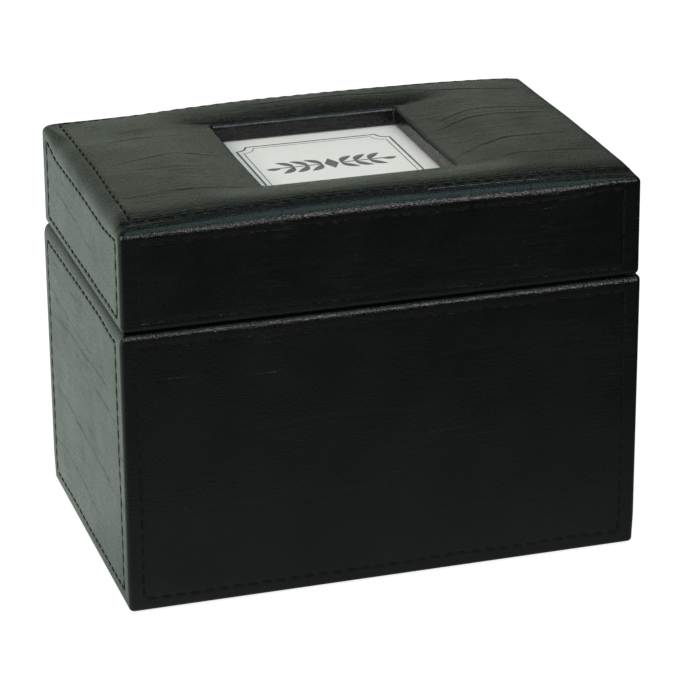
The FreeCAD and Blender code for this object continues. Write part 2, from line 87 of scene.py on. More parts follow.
def make_camera():
    data = bpy.data.cameras.new("camera")
    data.lens, data.sensor_width = LENS, 36
    data.clip_start, data.clip_end = 0.05, 20
    camera = bpy.data.objects.new("camera", data)
    turn = [Matrix.Rotation(math.radians(a), 4, axis)
            for a, axis in ((HEADING, "Z"), (TILT, "X"), (ROLL, "Z"))]
    camera.matrix_world = Matrix.Translation(Vector(CAMERA_AT) * MM) @ turn[0] @ turn[1] @ turn[2]
    bpy.context.scene.collection.objects.link(camera)
    bpy.context.scene.camera = camera
    return camera


print("camera:", tuple(round(v, 3) for v in make_camera().location))

# %% [markdown]
# ## Small tools for meshes
# All shapes are worked out in millimetres with numpy and turned into meshes at the end. A cover
# is one long strip swept round the box: its columns are stations on the outline and its rows
# follow the leather from one raw edge to the other. The last column joins the first and the
# last row joins the first, so the skin is a closed solid with a real thickness.

# %% A piece from its points and faces


def new_piece(name, points, faces, body=None, material=None, smooth=True):
    """A mesh object from points in millimetres, riding on a body."""
    mesh = bpy.data.meshes.new(name)
    faces = faces.tolist() if isinstance(faces, np.ndarray) else faces
    mesh.from_pydata((np.asarray(points, float) * MM).tolist(), [], faces)
    mesh.polygons.foreach_set("use_smooth", [smooth] * len(mesh.polygons))
    mesh.update()
    piece = bpy.data.objects.new(name, mesh)
    bpy.context.scene.collection.objects.link(piece)
    if material:
        mesh.materials.append(material)
    if body:
        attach(piece, body)
    return piece


def grid_faces(columns, rows, closed=(True, True)):
    """Quads of a grid of points, which may close on itself along its columns and its rows."""
    i, j = np.meshgrid(np.arange(columns - 1 + closed[0]), np.arange(rows - 1 + closed[1]),
                       indexing="ij")
    after, above = (i + 1) % columns, (j + 1) % rows
    corners = (i * rows + j, after * rows + j, after * rows + above, i * rows + above)
    return np.stack(corners, -1).reshape(-1, 4)


print("faces of a closed grid of 3 by 4 points:", len(grid_faces(3, 4)))

# %% Steps and slopes


def spaced(start, end, step, lines=(), fine=0.3, reach=1.6):
    """Places from start to end, step apart, and closer together near each line."""
    at = np.linspace(start, end, 4000)
    gap = np.full_like(at, step)
    for line in lines:
        near = np.clip((np.abs(at - line) - reach) / reach, 0, 1)
        gap = np.minimum(gap, fine + (step - fine) * near)
    run = np.concatenate([[0], np.cumsum(np.diff(at) / gap[1:])])
    count = max(2, int(math.ceil(run[-1])))
    return np.interp(np.linspace(0, run[-1], count + 1), run, at)


def smooth_step(t):
    """From 0 to 1 with a soft start and a soft end."""
    t = np.clip(t, 0, 1)
    return t * t * (3 - 2 * t)


def unit(vectors):
    return vectors / np.linalg.norm(vectors, axis=-1, keepdims=True)


# %% Random hills
HILLS = 64    # a ripple repeats after so many hills


def ripple(x, y, size, seed):
    """Soft random hills about size millimetres across, from -1 to 1."""
    table = np.random.RandomState(seed).uniform(-1, 1, (HILLS, HILLS))
    u, v = np.asarray(x, float) / size, np.asarray(y, float) / size
    i, j = np.floor(u).astype(int), np.floor(v).astype(int)
    s, t = smooth_step(u - i), smooth_step(v - j)
    i0, j0, i1, j1 = i % HILLS, j % HILLS, (i + 1) % HILLS, (j + 1) % HILLS
    low = table[i0, j0] * (1 - s) + table[i1, j0] * s
    high = table[i0, j1] * (1 - s) + table[i1, j1] * s
    return low * (1 - t) + high * t


def hills(x, y, seed, *layers):
    """Ripples of (height, size) laid over each other, each with the next seed."""
    return sum(height * ripple(x, y, size, seed + n) for n, (height, size) in enumerate(layers))


print("a ripple repeats after", HILLS, "hills")

# %% [markdown]
# ## Sizes read from the frame
# The covers are measured from their own nodes. The sizes could be typed in again here, but then
# a box of another size would leave its leather behind. What only the leather needs comes after.

# %% Read the sizes


def node_box(node):
    """The low and the high corner of a solid, in millimetres."""
    return [np.array(corner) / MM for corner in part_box(node)]


base_low, base_high = node_box("base_cover")
MIDDLE = (base_low[1] + base_high[1]) / 2
HALF = np.array([base_high[0], base_high[1] - MIDDLE])
BASE_RIM, FOOT, LID_RIM = base_high[2], base_low[2], node_box("lid_cover")[0][2]
SEAM = (BASE_RIM + LID_RIM) / 2
FLANGE_UNDER = node_box("window_film")[1][2]
BOARD_UNDER, BOARD_TOP = (corner[2] for corner in node_box("lid_top_board"))
print("half sizes", HALF, "rims", BASE_RIM, LID_RIM)

# %% Sizes of the leather work
EDGE = 135.2                              # height of the lid's top along its edges
LEATHER, WALL, TURNED = 1.2, 3.7, 4.5     # how far in leather, board and turned-in leather end
TURN_IN, TURN_UNDER = 14.0, 15.2          # how far the leather reaches inside a rim and underneath
FOOT_ROUND, LID_ROUND, LID_RIM_ROUND = 1.5, 6.0, 2.2
SHARP, SOFT = 0.35, 0.3                   # the tightest corner on the plan, and a folded edge
COLUMN_STEP, ROW_STEP = 0.9, 0.85         # how finely the leather is divided
# One value for each side: front, right, rear, left.
RIM_ROUND, RIM_FALL = np.array([[2.0, 1.3, 2.2, 2.2], [2.4, 1.5, 2.6, 4.4]])
# One value for the corner after each side.
BASE_CORNERS, LID_CORNERS = np.array([[1.8, 2.2, 2.2, 1.8], [1.6, 2.0, 3.0, 1.9]])
WINDOW, WINDOW_Y = np.array([33.0, 33.0]), 2.1
WINDOW_ROUND, WINDOW_ROLL, FLANGE = 0.7, 1.6, 9.2
# The lip round the window: its height, how far it rises in front and at its back, and its lean.
LIP, LIP_FRONT, LIP_BACK, LIP_LEAN = 134.2, 0.5, 0.6, 0.2
print("seam at", round(SEAM, 2), "window", 2 * WINDOW[0], "mm wide, its lip at", LIP)

# %% [markdown]
# ## The outline
# Four sides, each with its own direction along and direction out. A station is a share of the
# straight run and an angle on the corner that follows it, so the same station can be placed on
# any outline that lies inside the first. A curve with a bevel would carry one section all round.
# Stations let each side have its own inset and each corner its own radius, as handwork has.

# %% Stations round the box
ALONG = np.array([[1, 0], [0, 1], [-1, 0], [0, -1]], float)
OUT = np.array([[0, -1], [1, 0], [0, 1], [-1, 0]], float)
SIDES = ("front", "right", "rear", "left")
ARC_STEPS = 9


def half_along(side):
    return HALF[side % 2]


def side_of(stations):
    return stations[:, 0].astype(int)


def at_height(flat, height):
    """Points in space from places on the plan and one height, or a height for each."""
    return np.column_stack([flat, np.broadcast_to(height, len(flat))])


def make_stations(step, insets, corners):
    """Side number, share of the straight run, angle, and distance along, for each station."""
    rows = []
    for side in range(4):
        half = half_along(side)
        first, last = half - corners[side - 1], half - corners[side]
        lines = [-half + insets[side][0], half - insets[side][1]]
        for along in spaced(-first, last, step, lines):
            rows.append((side, along / (first if along < 0 else last), 0.0, along))
        for k in range(1, ARC_STEPS):
            turn = k / ARC_STEPS * math.pi / 2
            rows.append((side, 1.0, turn, last + corners[side] * turn))
    return np.array(rows)


def place(stations, inset, corners, half=None, middle=MIDDLE):
    """Where the stations fall on an outline that is inset, with the given corner radii.

    inset is one number, or three columns: here, at the side's start and at its end."""
    half, side = HALF if half is None else half, side_of(stations)
    along, out = ALONG[side], OUT[side]
    corners = np.maximum(np.broadcast_to(np.asarray(corners, float), 4), SHARP)
    radius = np.where(stations[:, 1] < 0, corners[side - 1], corners[side])
    inset = np.broadcast_to(np.asarray(inset, float).reshape(-1, 1 if np.ndim(inset) == 0 else 3),
                            (len(stations), 3))
    nearest = np.where(stations[:, 1] < 0, inset[:, 1], inset[:, 2])
    run = np.abs(along) @ half - nearest - radius
    off = np.abs(out) @ half - inset[:, 0] - radius
    turn = stations[:, 2]
    flat = (along * (stations[:, 1] * run + radius * np.sin(turn))[:, None]
            + out * (off + radius * np.cos(turn))[:, None])
    return flat + np.array([0, middle])


def along_side(stations, flat):
    """Distance along each station's own side, from the middle of that side."""
    along = ((flat - np.array([0, MIDDLE])) * ALONG[side_of(stations)]).sum(1)
    return np.where(stations[:, 2] > 0, stations[:, 3], along)


def side_insets(stations, insets):
    """Insets here, at the start and at the end of each station's side, from one for each side."""
    side, insets = side_of(stations), np.asarray(insets, float)
    return np.stack([insets[side], insets[side - 1], insets[(side + 1) % 4]], 1)


def outward(stations):
    side, turn = side_of(stations), stations[:, 2]
    return ALONG[side] * np.sin(turn)[:, None] + OUT[side] * np.cos(turn)[:, None]


# %% [markdown]
# ## Stitched lines
# Each face carries one rectangle of stitching. The tight thread presses a narrow channel into
# the leather, which comes up again between two stitches and swells a little on both sides. The
# line is never quite straight, so a slow wave moves both the channel and the thread. Each dent
# could be sculpted. A distance from the line and a beat along it give them all by one formula.

# %% The stitched rectangles
PITCH = 4.9
# The channel, the wider sink round it and the swelling beside it: how deep or high, how wide.
CHANNEL, CHANNEL_WIDE, SINK, SINK_WIDE = 0.30, 0.56, 0.12, 1.9
SWELL, SWELL_AT, SWELL_WIDE = 0.05, 1.5, 0.7


class StitchedRectangle:
    """A rectangle of stitches on one flat face, in millimetres along and up that face."""

    def __init__(self, name, low, high, seed, wave=0.45, pull=1.0):
        self.name, self.low, self.high = name, np.array(low, float), np.array(high, float)
        self.seed, self.wave, self.pull = seed, wave, pull

    def wander(self, a, v):
        return hills(a, v, self.seed, (self.wave, 23), (0.12, 5))

    def signed(self, a, v):
        """Distance from the line, less than nought inside it."""
        q = np.stack([np.maximum(self.low[0] - a, a - self.high[0]),
                      np.maximum(self.low[1] - v, v - self.high[1])])
        out = np.hypot(*np.maximum(q, 0))
        return out + np.minimum(q.max(0), 0) - self.wander(a, v)

    def count(self, axis):
        return max(2, int(round((self.high[axis] - self.low[axis]) / PITCH)))

    def beat(self, a, v):
        """Runs from 0 to 1 between one needle hole and the next, along the nearest side."""
        up = np.minimum(np.abs(v - self.low[1]), np.abs(v - self.high[1]))
        across = np.minimum(np.abs(a - self.low[0]), np.abs(a - self.high[0]))
        s = (a - self.low[0]) / (self.high[0] - self.low[0]) * self.count(0)
        t = (v - self.low[1]) / (self.high[1] - self.low[1]) * self.count(1)
        return np.where(up < across, s, t)

    def pressed(self, a, v):
        """From 0 at a needle hole to 1 under the middle of a stitch."""
        return (0.5 - 0.5 * np.cos(2 * np.pi * self.beat(a, v))) ** 0.6

    def depth(self, a, v):
        """How far the stitching moves the skin outward at a place on the face."""
        d, pressed = np.abs(self.signed(a, v)), self.pressed(a, v)
        channel = -CHANNEL * (0.25 + 0.75 * pressed) * np.exp(-(d / CHANNEL_WIDE) ** 2)
        sink = -SINK * np.exp(-d / SINK_WIDE)
        swell = SWELL * pressed * np.exp(-((d - SWELL_AT) / SWELL_WIDE) ** 2)
        return (channel + sink + swell) * self.pull

    def runs(self):
        """Each stitch as its two ends on the face, side after side."""
        (a0, v0), (a1, v1) = self.low, self.high
        corners = np.array([(a0, v0), (a1, v0), (a1, v1), (a0, v1)])
        for side in range(4):
            start, end = corners[side], corners[(side + 1) % 4]
            ends = np.linspace(0, 1, self.count(side % 2) + 1)
            for s, t in zip(ends[:-1], ends[1:]):
                yield start + (end - start) * s, start + (end - start) * t, OUT[side]


# %% [markdown]
# ## Creases
# Bonded leather creases along the way it was rolled. Noise alone would scatter the creases, so
# the long ones are listed one by one on the faces, each a height that changes slowly along the
# face, and the small ones are left to the grain.

# %% Creases in the skin
FADE, RIDGE, RIDGE_AT, RIDGE_WIDE = 0.18, 0.45, 1.8, 1.3    # a fold's ends, and the ridge beside it


def crease(a, v, line, seed, width=0.5):
    """Where a fold that follows the given (along, up) points is: its strength and offset."""
    line = np.array(line, float)
    length = line[-1, 0] - line[0, 0]
    t = (a - line[0, 0]) / length
    inside = smooth_step(t / FADE) * smooth_step((1 - t) / FADE)
    middle = np.interp(a, line[:, 0], line[:, 1]) + 0.5 * ripple(a, v * 0, 7, seed)
    return inside * (0.8 + 0.3 * ripple(a, v * 0, 4, seed + 9)), (v - middle) / width


# %% Where the creases lie
# Each is its points (along, up) and its depth. The sides count front, right, rear, left.
BASE_CREASES = {
    3: [([(-52, 87), (-30, 85.5), (-20, 85)], 0.10),
        ([(-50, 68), (-16, 71), (18, 72.5), (46, 74)], 0.22),
        ([(15, 65), (35, 65.4), (50, 64)], 0.15),
        ([(-52, 42.5), (-12, 41.6), (18, 39.4), (48, 37)], 0.22),
        ([(-50, 20.7), (-22, 21.5), (4, 19.5), (20, 18.8)], 0.16)],
    0: [([(-60, 60), (-20, 62), (25, 60)], 0.10), ([(-75, 36), (-40, 33), (0, 35)], 0.10),
        ([(10, 78), (40, 80), (76, 78)], 0.10), ([(5, 20), (45, 23), (72, 22)], 0.08)],
    1: [([(-48, 70), (-10, 67), (30, 66)], 0.18), ([(-30, 45), (10, 44), (48, 47)], 0.2),
        ([(-45, 22), (0, 24), (25, 23)], 0.14)],
    2: [([(-70, 72), (-20, 70), (15, 71)], 0.14), ([(-40, 48), (10, 50), (70, 47)], 0.16),
        ([(-20, 24), (30, 22), (74, 24)], 0.12)],
}
LID_CREASES = {
    3: [([(-46, 118), (-10, 116), (30, 112)], 0.14)],
    0: [([(-70, 114), (-30, 116), (5, 114)], 0.09), ([(20, 118), (50, 117), (78, 119)], 0.09)],
    1: [([(-46, 112), (-10, 114), (30, 113)], 0.14)],
    2: [([(-60, 116), (-10, 114), (50, 116)], 0.12)],
}
TOP_CREASES = [
    ([(38, 13), (55, 19), (66, 19), (82, 16)], 0.12),
    ([(35, 5), (52, 11), (63, 12), (84, 10)], 0.13),
    ([(34, -25), (47, -17), (59, -14), (82, -12)], 0.14),
    ([(48, -31), (68, -31), (82, -32)], 0.10),
    ([(45, 45), (66, 43), (82, 39)], 0.10), ([(46, 32), (54, 32), (62, 31)], 0.06),
    ([(-80, -1), (-65, 4), (-53, 6.5), (-37, 3)], 0.10),
    ([(-75, 26), (-59, 26.5), (-42, 26)], 0.08),
    ([(-70, -30), (-52, -32), (-36, -32)], 0.08), ([(-74, -6), (-60, -8), (-46, -9)], 0.07),
    ([(-82, -33), (-68, -32), (-55, -31)], 0.06), ([(-20, 48), (10, 49), (50, 47)], 0.07),
]
print("creases on the top:", len(TOP_CREASES))

# %% How the creases move and dull the skin
DULL, DULL_WIDE = 0.7, 0.5       # how matt the stitched channel is, and how wide
DEEP, FOLD_WIDE = 0.18, 0.8      # a fold this deep is fully matt, and so wide

def creases(a, v, lines):
    """How far the folds move the skin."""
    height = np.zeros(np.broadcast(a, v).shape)
    for n, (line, depth) in enumerate(lines):
        inside, d = crease(a, v, line, 40 + n)
        ridge = RIDGE * np.exp(-((d - RIDGE_AT) / RIDGE_WIDE) ** 2)
        height += depth * inside * (ridge - np.exp(-d * d))
    return height


def worn(a, v, lines, stitched):
    """From 0 to 1: how matt the skin is in its folds and in its stitched channel."""
    matt = DULL * stitched.pressed(a, v) * np.exp(-(stitched.signed(a, v) / DULL_WIDE) ** 2)
    for n, (line, depth) in enumerate(lines):
        inside, d = crease(a, v, line, 40 + n)
        matt = np.maximum(matt, min(1, depth / DEEP) * inside * np.exp(-(d / FOLD_WIDE) ** 2))
    return matt


# %% [markdown]
# ## The skin of a face
# One function gives the height of the skin at any place of a face: the slow unevenness of
# glued leather, its creases and its stitched channel. The mesh and the thread both ask it, so
# the thread always lies in its channel.

# %% Stitching of the base and of the lid
# How far in from each side's start and end its upright stitch lines run.
BASE_RUN = {0: (5.0, 5.5), 1: (6.5, 6.0), 2: (6.0, 6.0), 3: (6.0, 7.4)}
LID_RUN = {0: (6.4, 6.6), 1: (6.5, 6.0), 2: (6.0, 6.0), 3: (8.0, 5.6)}
PULL = (0.5, 0.9, 0.9, 1.0)    # how hard the thread pulls on the front, right, rear and left


def rectangle(body, side, runs, low, high, seed):
    reach = half_along(side)
    first, last = runs[side]
    return StitchedRectangle(f"{body}_{SIDES[side]}_stitching", (-reach + first, low),
                             (reach - last, high), seed, pull=PULL[side])


BASE_LINES = {s: rectangle("base", s, BASE_RUN, 5.2, 93.8, 10 + s) for s in range(4)}
LID_LINES = {s: rectangle("lid", s, LID_RUN, 102.6, 127.9, 20 + s) for s in range(4)}
TOP_LINE = StitchedRectangle("lid_top_stitching", (-HALF[0] + 6.4, -HALF[1] + 7.4),
                             (HALF[0] + 0.2, HALF[1] - 3.3), 31, wave=0.38)
print("stitches on the top:", len(list(TOP_LINE.runs())))

# %% Skins of the walls and of the top
WALL_HILLS, TOP_HILLS = ((0.16, 31), (0.05, 9)), ((0.18, 27), (0.06, 8))    # (height, size)
# Along the front the top falls towards its stitches, steps down past them and bends over.
FALL, FALL_REACH = 0.6, 9.0
STEP, STEP_REACH, OVER, OVER_REACH = 0.08, 1.0, 0.27, 6.0


def wall_skin(side, a, v, lines, folds):
    """Height of the skin on a wall, out from the flat face. It dies away towards the corners."""
    inner = half_along(side) - LID_CORNERS.max() - np.abs(a)
    marks = lines[side].depth(a, v) + creases(a, v, folds[side])
    return (hills(a + 200 * side, v, 3, *WALL_HILLS) * smooth_step(inner / 6)
            + marks * smooth_step(inner / 1.5))


def top_skin(x, y):
    """Height of the skin on the lid's top, up from its smooth form. y counts from the middle."""
    past = TOP_LINE.low[1] - y - TOP_LINE.wander(x, y)
    fall = FALL * np.clip(1 + past / FALL_REACH, 0, 1) ** 2
    ahead = np.clip(past, 0, OVER_REACH)
    over = STEP * smooth_step(past / STEP_REACH) + OVER * (ahead - ahead ** 2 / OVER_REACH / 2)
    return (hills(x, y, 6, *TOP_HILLS) + TOP_LINE.depth(x, y) + creases(x, y, TOP_CREASES)
            - fall - over)


# %% [markdown]
# ## Base cover
# The leather is one band round the four walls. It is turned under the floor, runs up the wall,
# rolls over the rim and is turned in, where the lining hides its raw edge. A box with a bevel
# would have one round edge everywhere. Rows placed one by one give each side its own rim.

# %% Parts of a profile
# A profile is a list of (inset, height): how far inside the box's outline, and how high.


def arc(centre, radius, start, end, steps):
    """Points of an arc as (inset, height); angles in degrees, 0 inward and 90 up."""
    return [(centre[0] + radius * math.cos(math.radians(t)),
             centre[1] + radius * math.sin(math.radians(t)))
            for t in np.linspace(start, end, steps)]


def straight(start, end, count):
    """Points of a straight stretch, both ends counted."""
    start, end = np.array(start, float), np.array(end, float)
    return [tuple(start + (end - start) * t) for t in np.linspace(0, 1, count)]


# %% Skins made of rows


def skin_lift(stations, flat, v, lines, folds):
    """Height of the skin at each station of a row at height v, and how matt it is there."""
    lift, matt, a = np.zeros(len(stations)), np.zeros(len(stations)), along_side(stations, flat)
    for side in range(4):
        on = side_of(stations) == side
        up = np.full(on.sum(), float(v))
        lift[on] = wall_skin(side, a[on], up, lines, folds)
        matt[on] = worn(a[on], up, folds[side], lines[side])
    return lift, matt


def skin_piece(name, grid, body, material, slot, *nodes, matt=None):
    """A closed skin from a grid of columns and rows, standing for CAD nodes.

    matt says where it is worn dull, from 0 to 1, and below 0 where it is drawn smooth."""
    columns, rows = grid.shape[:2]
    piece = new_piece(name, grid.reshape(-1, 3), grid_faces(columns, rows), None, material)
    face_outward(piece)
    if matt is not None:
        layer = piece.data.attributes.new("matt", "FLOAT", "POINT")
        layer.data.foreach_set("value", matt.reshape(-1).astype(np.float32))
    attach(piece, body)
    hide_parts(*nodes)
    print(name, "faces:", len(piece.data.polygons))
    return piece


def face_outward(piece):
    """Turns a closed mesh right side out: its volume has to come out positive."""
    mesh = piece.data
    mesh.calc_loop_triangles()
    co = np.zeros(len(mesh.vertices) * 3)
    mesh.vertices.foreach_get("co", co)
    tri = np.zeros(len(mesh.loop_triangles) * 3, int)
    mesh.loop_triangles.foreach_get("vertices", tri)
    a, b, c = co.reshape(-1, 3)[tri].reshape(-1, 3, 3).transpose(1, 0, 2)
    if np.einsum("ij,ij->i", a, np.cross(b, c)).sum() < 0:
        mesh.flip_normals()


# %% Sweep the base cover
PROUD, PROUD_FROM = 0.25, 12    # how far the leather stands out, and where it does so in full


def proud(height):
    """How far the base's leather stands out of its outline at a height."""
    return PROUD * smooth_step((height - FOOT) / PROUD_FROM)


def rim_inset(height):
    """How far the rounded rim of each side has turned in at a height."""
    up = np.clip((height - BASE_RIM + RIM_FALL) / RIM_FALL, 0, 1)
    return RIM_ROUND * (1 - np.sqrt(1 - up * up))


def base_cover():
    low, high = FOOT + FOOT_ROUND, BASE_RIM - RIM_FALL.max()
    rows = spaced(low, high, ROW_STEP, [BASE_LINES[0].low[1], BASE_LINES[0].high[1]])
    tuck = BASE_RIM - TURN_IN
    profile = (
        straight((TURN_UNDER, FOOT), (FOOT_ROUND, FOOT), 5)[:-1]
        + arc((FOOT_ROUND, low), FOOT_ROUND, 270, 180, 6)[:-1]
        + [(0.0, z) for z in rows[:-1]]
        + [(None, high + RIM_FALL.max() * math.sin(t))
           for t in np.linspace(0, math.pi / 2, 14)[:-1]]
        + straight((RIM_ROUND.max(), BASE_RIM), (TURNED - SOFT, BASE_RIM), 4)[:-1]
        + arc((TURNED - SOFT, BASE_RIM - SOFT), SOFT, 90, 0, 4)[:-1]
        + straight((TURNED, BASE_RIM - SOFT), (TURNED, tuck), 8)
        + straight((WALL, tuck), (WALL, BASE_RIM - LEATHER), 4)
        + straight((LEATHER, BASE_RIM - LEATHER), (LEATHER, FOOT + LEATHER), 6)
        + straight((TURN_UNDER, FOOT + LEATHER), (TURN_UNDER, FOOT + 0.4), 2))
    stations = make_stations(COLUMN_STEP, BASE_RUN, BASE_CORNERS)
    out = outward(stations)
    grid = np.zeros((len(stations), len(profile), 3))
    matt = np.zeros(grid.shape[:2])
    for j, (inset, height) in enumerate(profile):
        turned = rim_inset(height) if inset is None else np.full(4, inset)
        inset = turned - proud(height) * np.clip(1 - turned / TURNED, 0, 1)
        corners = BASE_CORNERS - (turned + np.roll(turned, -1)) / 2
        flat = place(stations, side_insets(stations, inset), corners)
        shown = smooth_step((height - low) / 2.0) * smooth_step((BASE_RIM - 1 - height) / 3.0)
        if turned.min() < 0.6 and shown > 0:
            lift, matt[:, j] = skin_lift(stations, flat, height, BASE_LINES, BASE_CREASES)
            flat += out * (lift * shown)[:, None]
        grid[:, j] = at_height(flat, height)
    return grid, matt


base_grid, base_matt = base_cover()
print("base cover grid", base_grid.shape)

# %% [markdown]
# ## Lid cover
# The lid's leather starts behind its lining, turns over the rim, runs up the wall and over the
# padded edge, crosses the crowned top, sinks towards the window, rolls over its edge and ends
# as a flange glued under the top board. Leather pulled over foam is highest in the middle of
# each side and lowest at the corners, so the whole top follows one low crown. A simulated cloth
# would hang and slide. Glued and stitched leather does neither, so its form is worked out.

# %% The lid's smooth form
WINDOW_BACK = WINDOW_Y - MIDDLE
# The crown's rise along the width and the depth, its low corners, and its uneven back edge.
SIDE_CROWN, END_CROWN, CORNER_DROP, REAR_TWIST = 2.1, 0.9, 0.7, 1.0
DIP_SIDE, DIP_END = 24.0, 17.0    # how far from the window the top has risen to its crown


def crown(x, y):
    across = x / HALF[0]
    twist = REAR_TWIST * across * (1 - across ** 8) * (1 + y / HALF[1]) / 2
    rise = SIDE_CROWN * (1 - across ** 2) + END_CROWN * (1 - (y / HALF[1]) ** 2)
    return rise + twist - CORNER_DROP


def lip_lift(y):
    """The window's lip stands a little higher in front than at its back, y as in top_form."""
    back = np.clip((y - WINDOW_BACK) / WINDOW[1], -1, 1)
    return np.where(back < 0, -LIP_FRONT * back, LIP_BACK * back)


def top_form(x, y):
    """Height of the lid's smooth top, y counted from the middle of the box."""
    full, lip = EDGE + crown(x, y), LIP + lip_lift(y)
    aside = np.maximum(np.abs(x) - WINDOW[0] - WINDOW_ROLL, 0) / DIP_SIDE
    before = np.maximum(np.abs(y - WINDOW_BACK) - WINDOW[1] - WINDOW_ROLL, 0) / DIP_END
    away = np.clip(np.hypot(aside, before), 0, 1)
    pillow = before ** 2 / (aside ** 2 + before ** 2 + 1e-9)
    rise = smooth_step(away) * (1 - pillow) + (1 - (1 - away) ** 2) * pillow
    return lip + (full - lip) * rise


# %% The lid's rounded edges and leaning walls
# Radius of the padded edge and inset of the wall at the rim and the top, for each side; the
# radius at the corner after it; and the share of a side over which one radius becomes the other.
SIDE_ROUND, CORNER_ROUND, CORNER_SHARE = (5.6, 4.0, 3.6, 6.0), (3.2, 3.6, 2.4, 4.2), 0.4
INSET_RIM, INSET_TOP = (0.0, 0.35, 0.1, 0.35), (0.0, 0.55, 0.2, 0.5)
RAISED_FROM = 112.0    # from this height on a wall takes up its edge's height

def edge_round(side, share):
    """Radius of the padded edge: the middle of each side has its own, and so has each corner."""
    ends = np.where(share < 0, CORNER_ROUND[side - 1], CORNER_ROUND[side])
    return ends + (SIDE_ROUND[side] - ends) * smooth_step((1 - np.abs(share)) / CORNER_SHARE)


def raised(v):
    """How much of its edge's height a place on the lid's wall takes up."""
    return smooth_step((v - RAISED_FROM) / (EDGE - LID_ROUND - RAISED_FROM))


def wall_inset(side, v):
    """The lid's walls lean a little: how far each stands in from the base's outline."""
    up = np.clip((v - LID_RIM) / (EDGE - LID_RIM), 0, 1)
    return INSET_RIM[side] + (INSET_TOP[side] - INSET_RIM[side]) * up


def lid_insets(stations, v, rolled=0.0):
    """Insets here, at the start and at the end; rolled is the share of the edge's radius."""
    side, share = side_of(stations), stations[:, 1]
    insets = np.zeros((len(stations), 3))
    for s in range(4):
        on = side == s
        insets[on, 0] = wall_inset(s, v) + rolled * edge_round(s, share[on])
        insets[on, 1] = wall_inset(s - 1, v) + rolled * CORNER_ROUND[s - 1]
        insets[on, 2] = wall_inset((s + 1) % 4, v) + rolled * CORNER_ROUND[s]
    return insets


def station_round(stations):
    """Radius of the padded edge at each station."""
    return np.choose(side_of(stations), [edge_round(s, stations[:, 1]) for s in range(4)])


# %% Rows of the lid's leather


def window_row(stations, outside, height):
    """A row round the window, that far outside its opening."""
    flat = place(stations, -outside, WINDOW_ROUND + outside, WINDOW, WINDOW_Y)
    low = BOARD_UNDER + 0.2
    share = np.clip((height - low) / (LIP - WINDOW_ROLL - low), 0, 1)
    return at_height(flat, height + share * lip_lift(flat[:, 1] - MIDDLE))


def under_roll(stations, under, angles):
    """Rows that follow the roll over the window's edge on its inner side, so far under it."""
    roll = WINDOW_ROLL - under
    return [window_row(stations, WINDOW_ROLL + roll * math.cos(angle),
                       LIP - WINDOW_ROLL + roll * math.sin(angle)) for angle in np.radians(angles)]


def lid_wall_row(stations, v, under=0.0):
    """A row on the lid's wall at height v, lifted towards its top to meet the crowned edge."""
    inset = np.maximum(lid_insets(stations, v), under) if under else lid_insets(stations, v)
    flat = place(stations, inset, LID_CORNERS - under)
    lift = crown(flat[:, 0], flat[:, 1] - MIDDLE) + LID_ROUND - station_round(stations)
    return at_height(flat, v + lift * raised(v))


def edge_row(stations, angle, under=0.0):
    """A row on the padded edge: 0 is the wall, a right angle is the top."""
    flat = place(stations, lid_insets(stations, EDGE, 1 - math.cos(angle)), LID_CORNERS)
    bend = station_round(stations)
    rise = EDGE - bend + bend * math.sin(angle)
    row = at_height(flat, rise + crown(flat[:, 0], flat[:, 1] - MIDDLE))
    return row - under * at_height(outward(stations) * math.cos(angle), math.sin(angle))


EVEN_TO, EVEN_CORNER = 12.0, 3.2    # an even inset and corner between the edge and the window


def top_row(stations, share=None, from_edge=None, under=0.0):
    """A row on the top: part of the way to an even inset, then part of the way to the window."""
    if share is None:
        inset = lid_insets(stations, EDGE, 1.0) * (1 - from_edge) + EVEN_TO * from_edge
        flat = place(stations, inset, LID_CORNERS * (1 - from_edge) + EVEN_CORNER * from_edge)
    else:
        near = place(stations, -WINDOW_ROLL, WINDOW_ROUND + WINDOW_ROLL, WINDOW, WINDOW_Y)
        flat = place(stations, EVEN_TO, EVEN_CORNER) * (1 - share) + near * share
    return at_height(flat, top_form(flat[:, 0], flat[:, 1] - MIDDLE) - under)


# %% A sweep that grows row by row


class Sweep:
    """Rows in the order in which the leather runs, each with how matt it is."""

    def __init__(self, stations):
        self.stations, self.rows, self.matt = stations, [], []
        self.out, self.up = at_height(outward(stations), 0.0), np.array([0, 0, 1.0])

    def add(self, row, matt=0.0):
        self.rows.append(row)
        self.matt.append(np.broadcast_to(matt, len(row)))

    def on_wall(self, row, v):
        return skin_lift(self.stations, row[:, :2], v, LID_LINES, LID_CREASES)

    def on_top(self, row, past=0.0):
        """The top's skin and wear; past is how far over its edge the leather has run down."""
        x, y, _ = (row + self.out * np.reshape(past, (-1, 1))).T
        return top_skin(x, y - MIDDLE), worn(x, y - MIDDLE, TOP_CREASES, TOP_LINE)


# %% From behind the lining, over the rim and up the wall
LID_LOW, LID_HIGH, LID_TUCK = LID_RIM + LID_RIM_ROUND, EDGE - LID_ROUND, LID_RIM + TURN_IN
SHOWN_FROM = 1.2    # so far above the rim's rounding the skin has all its marks


def turn_over_rim(sweep):
    for inset, z in (straight((TURNED, LID_TUCK), (TURNED, LID_RIM + SOFT), 8)
                     + arc((TURNED - SOFT, LID_RIM + SOFT), SOFT, 0, -90, 4)[1:]):
        sweep.add(at_height(place(sweep.stations, inset, LID_CORNERS - inset), z))
    for inset, z in (straight((TURNED - SOFT, LID_RIM), (LID_RIM_ROUND, LID_RIM), 4)[1:]
                     + arc((LID_RIM_ROUND, LID_LOW), LID_RIM_ROUND, 270, 180, 8)[1:-1]):
        inward = inset + lid_insets(sweep.stations, z) * (1 - inset / TURNED)
        sweep.add(at_height(place(sweep.stations, inward, LID_CORNERS - inset), z))


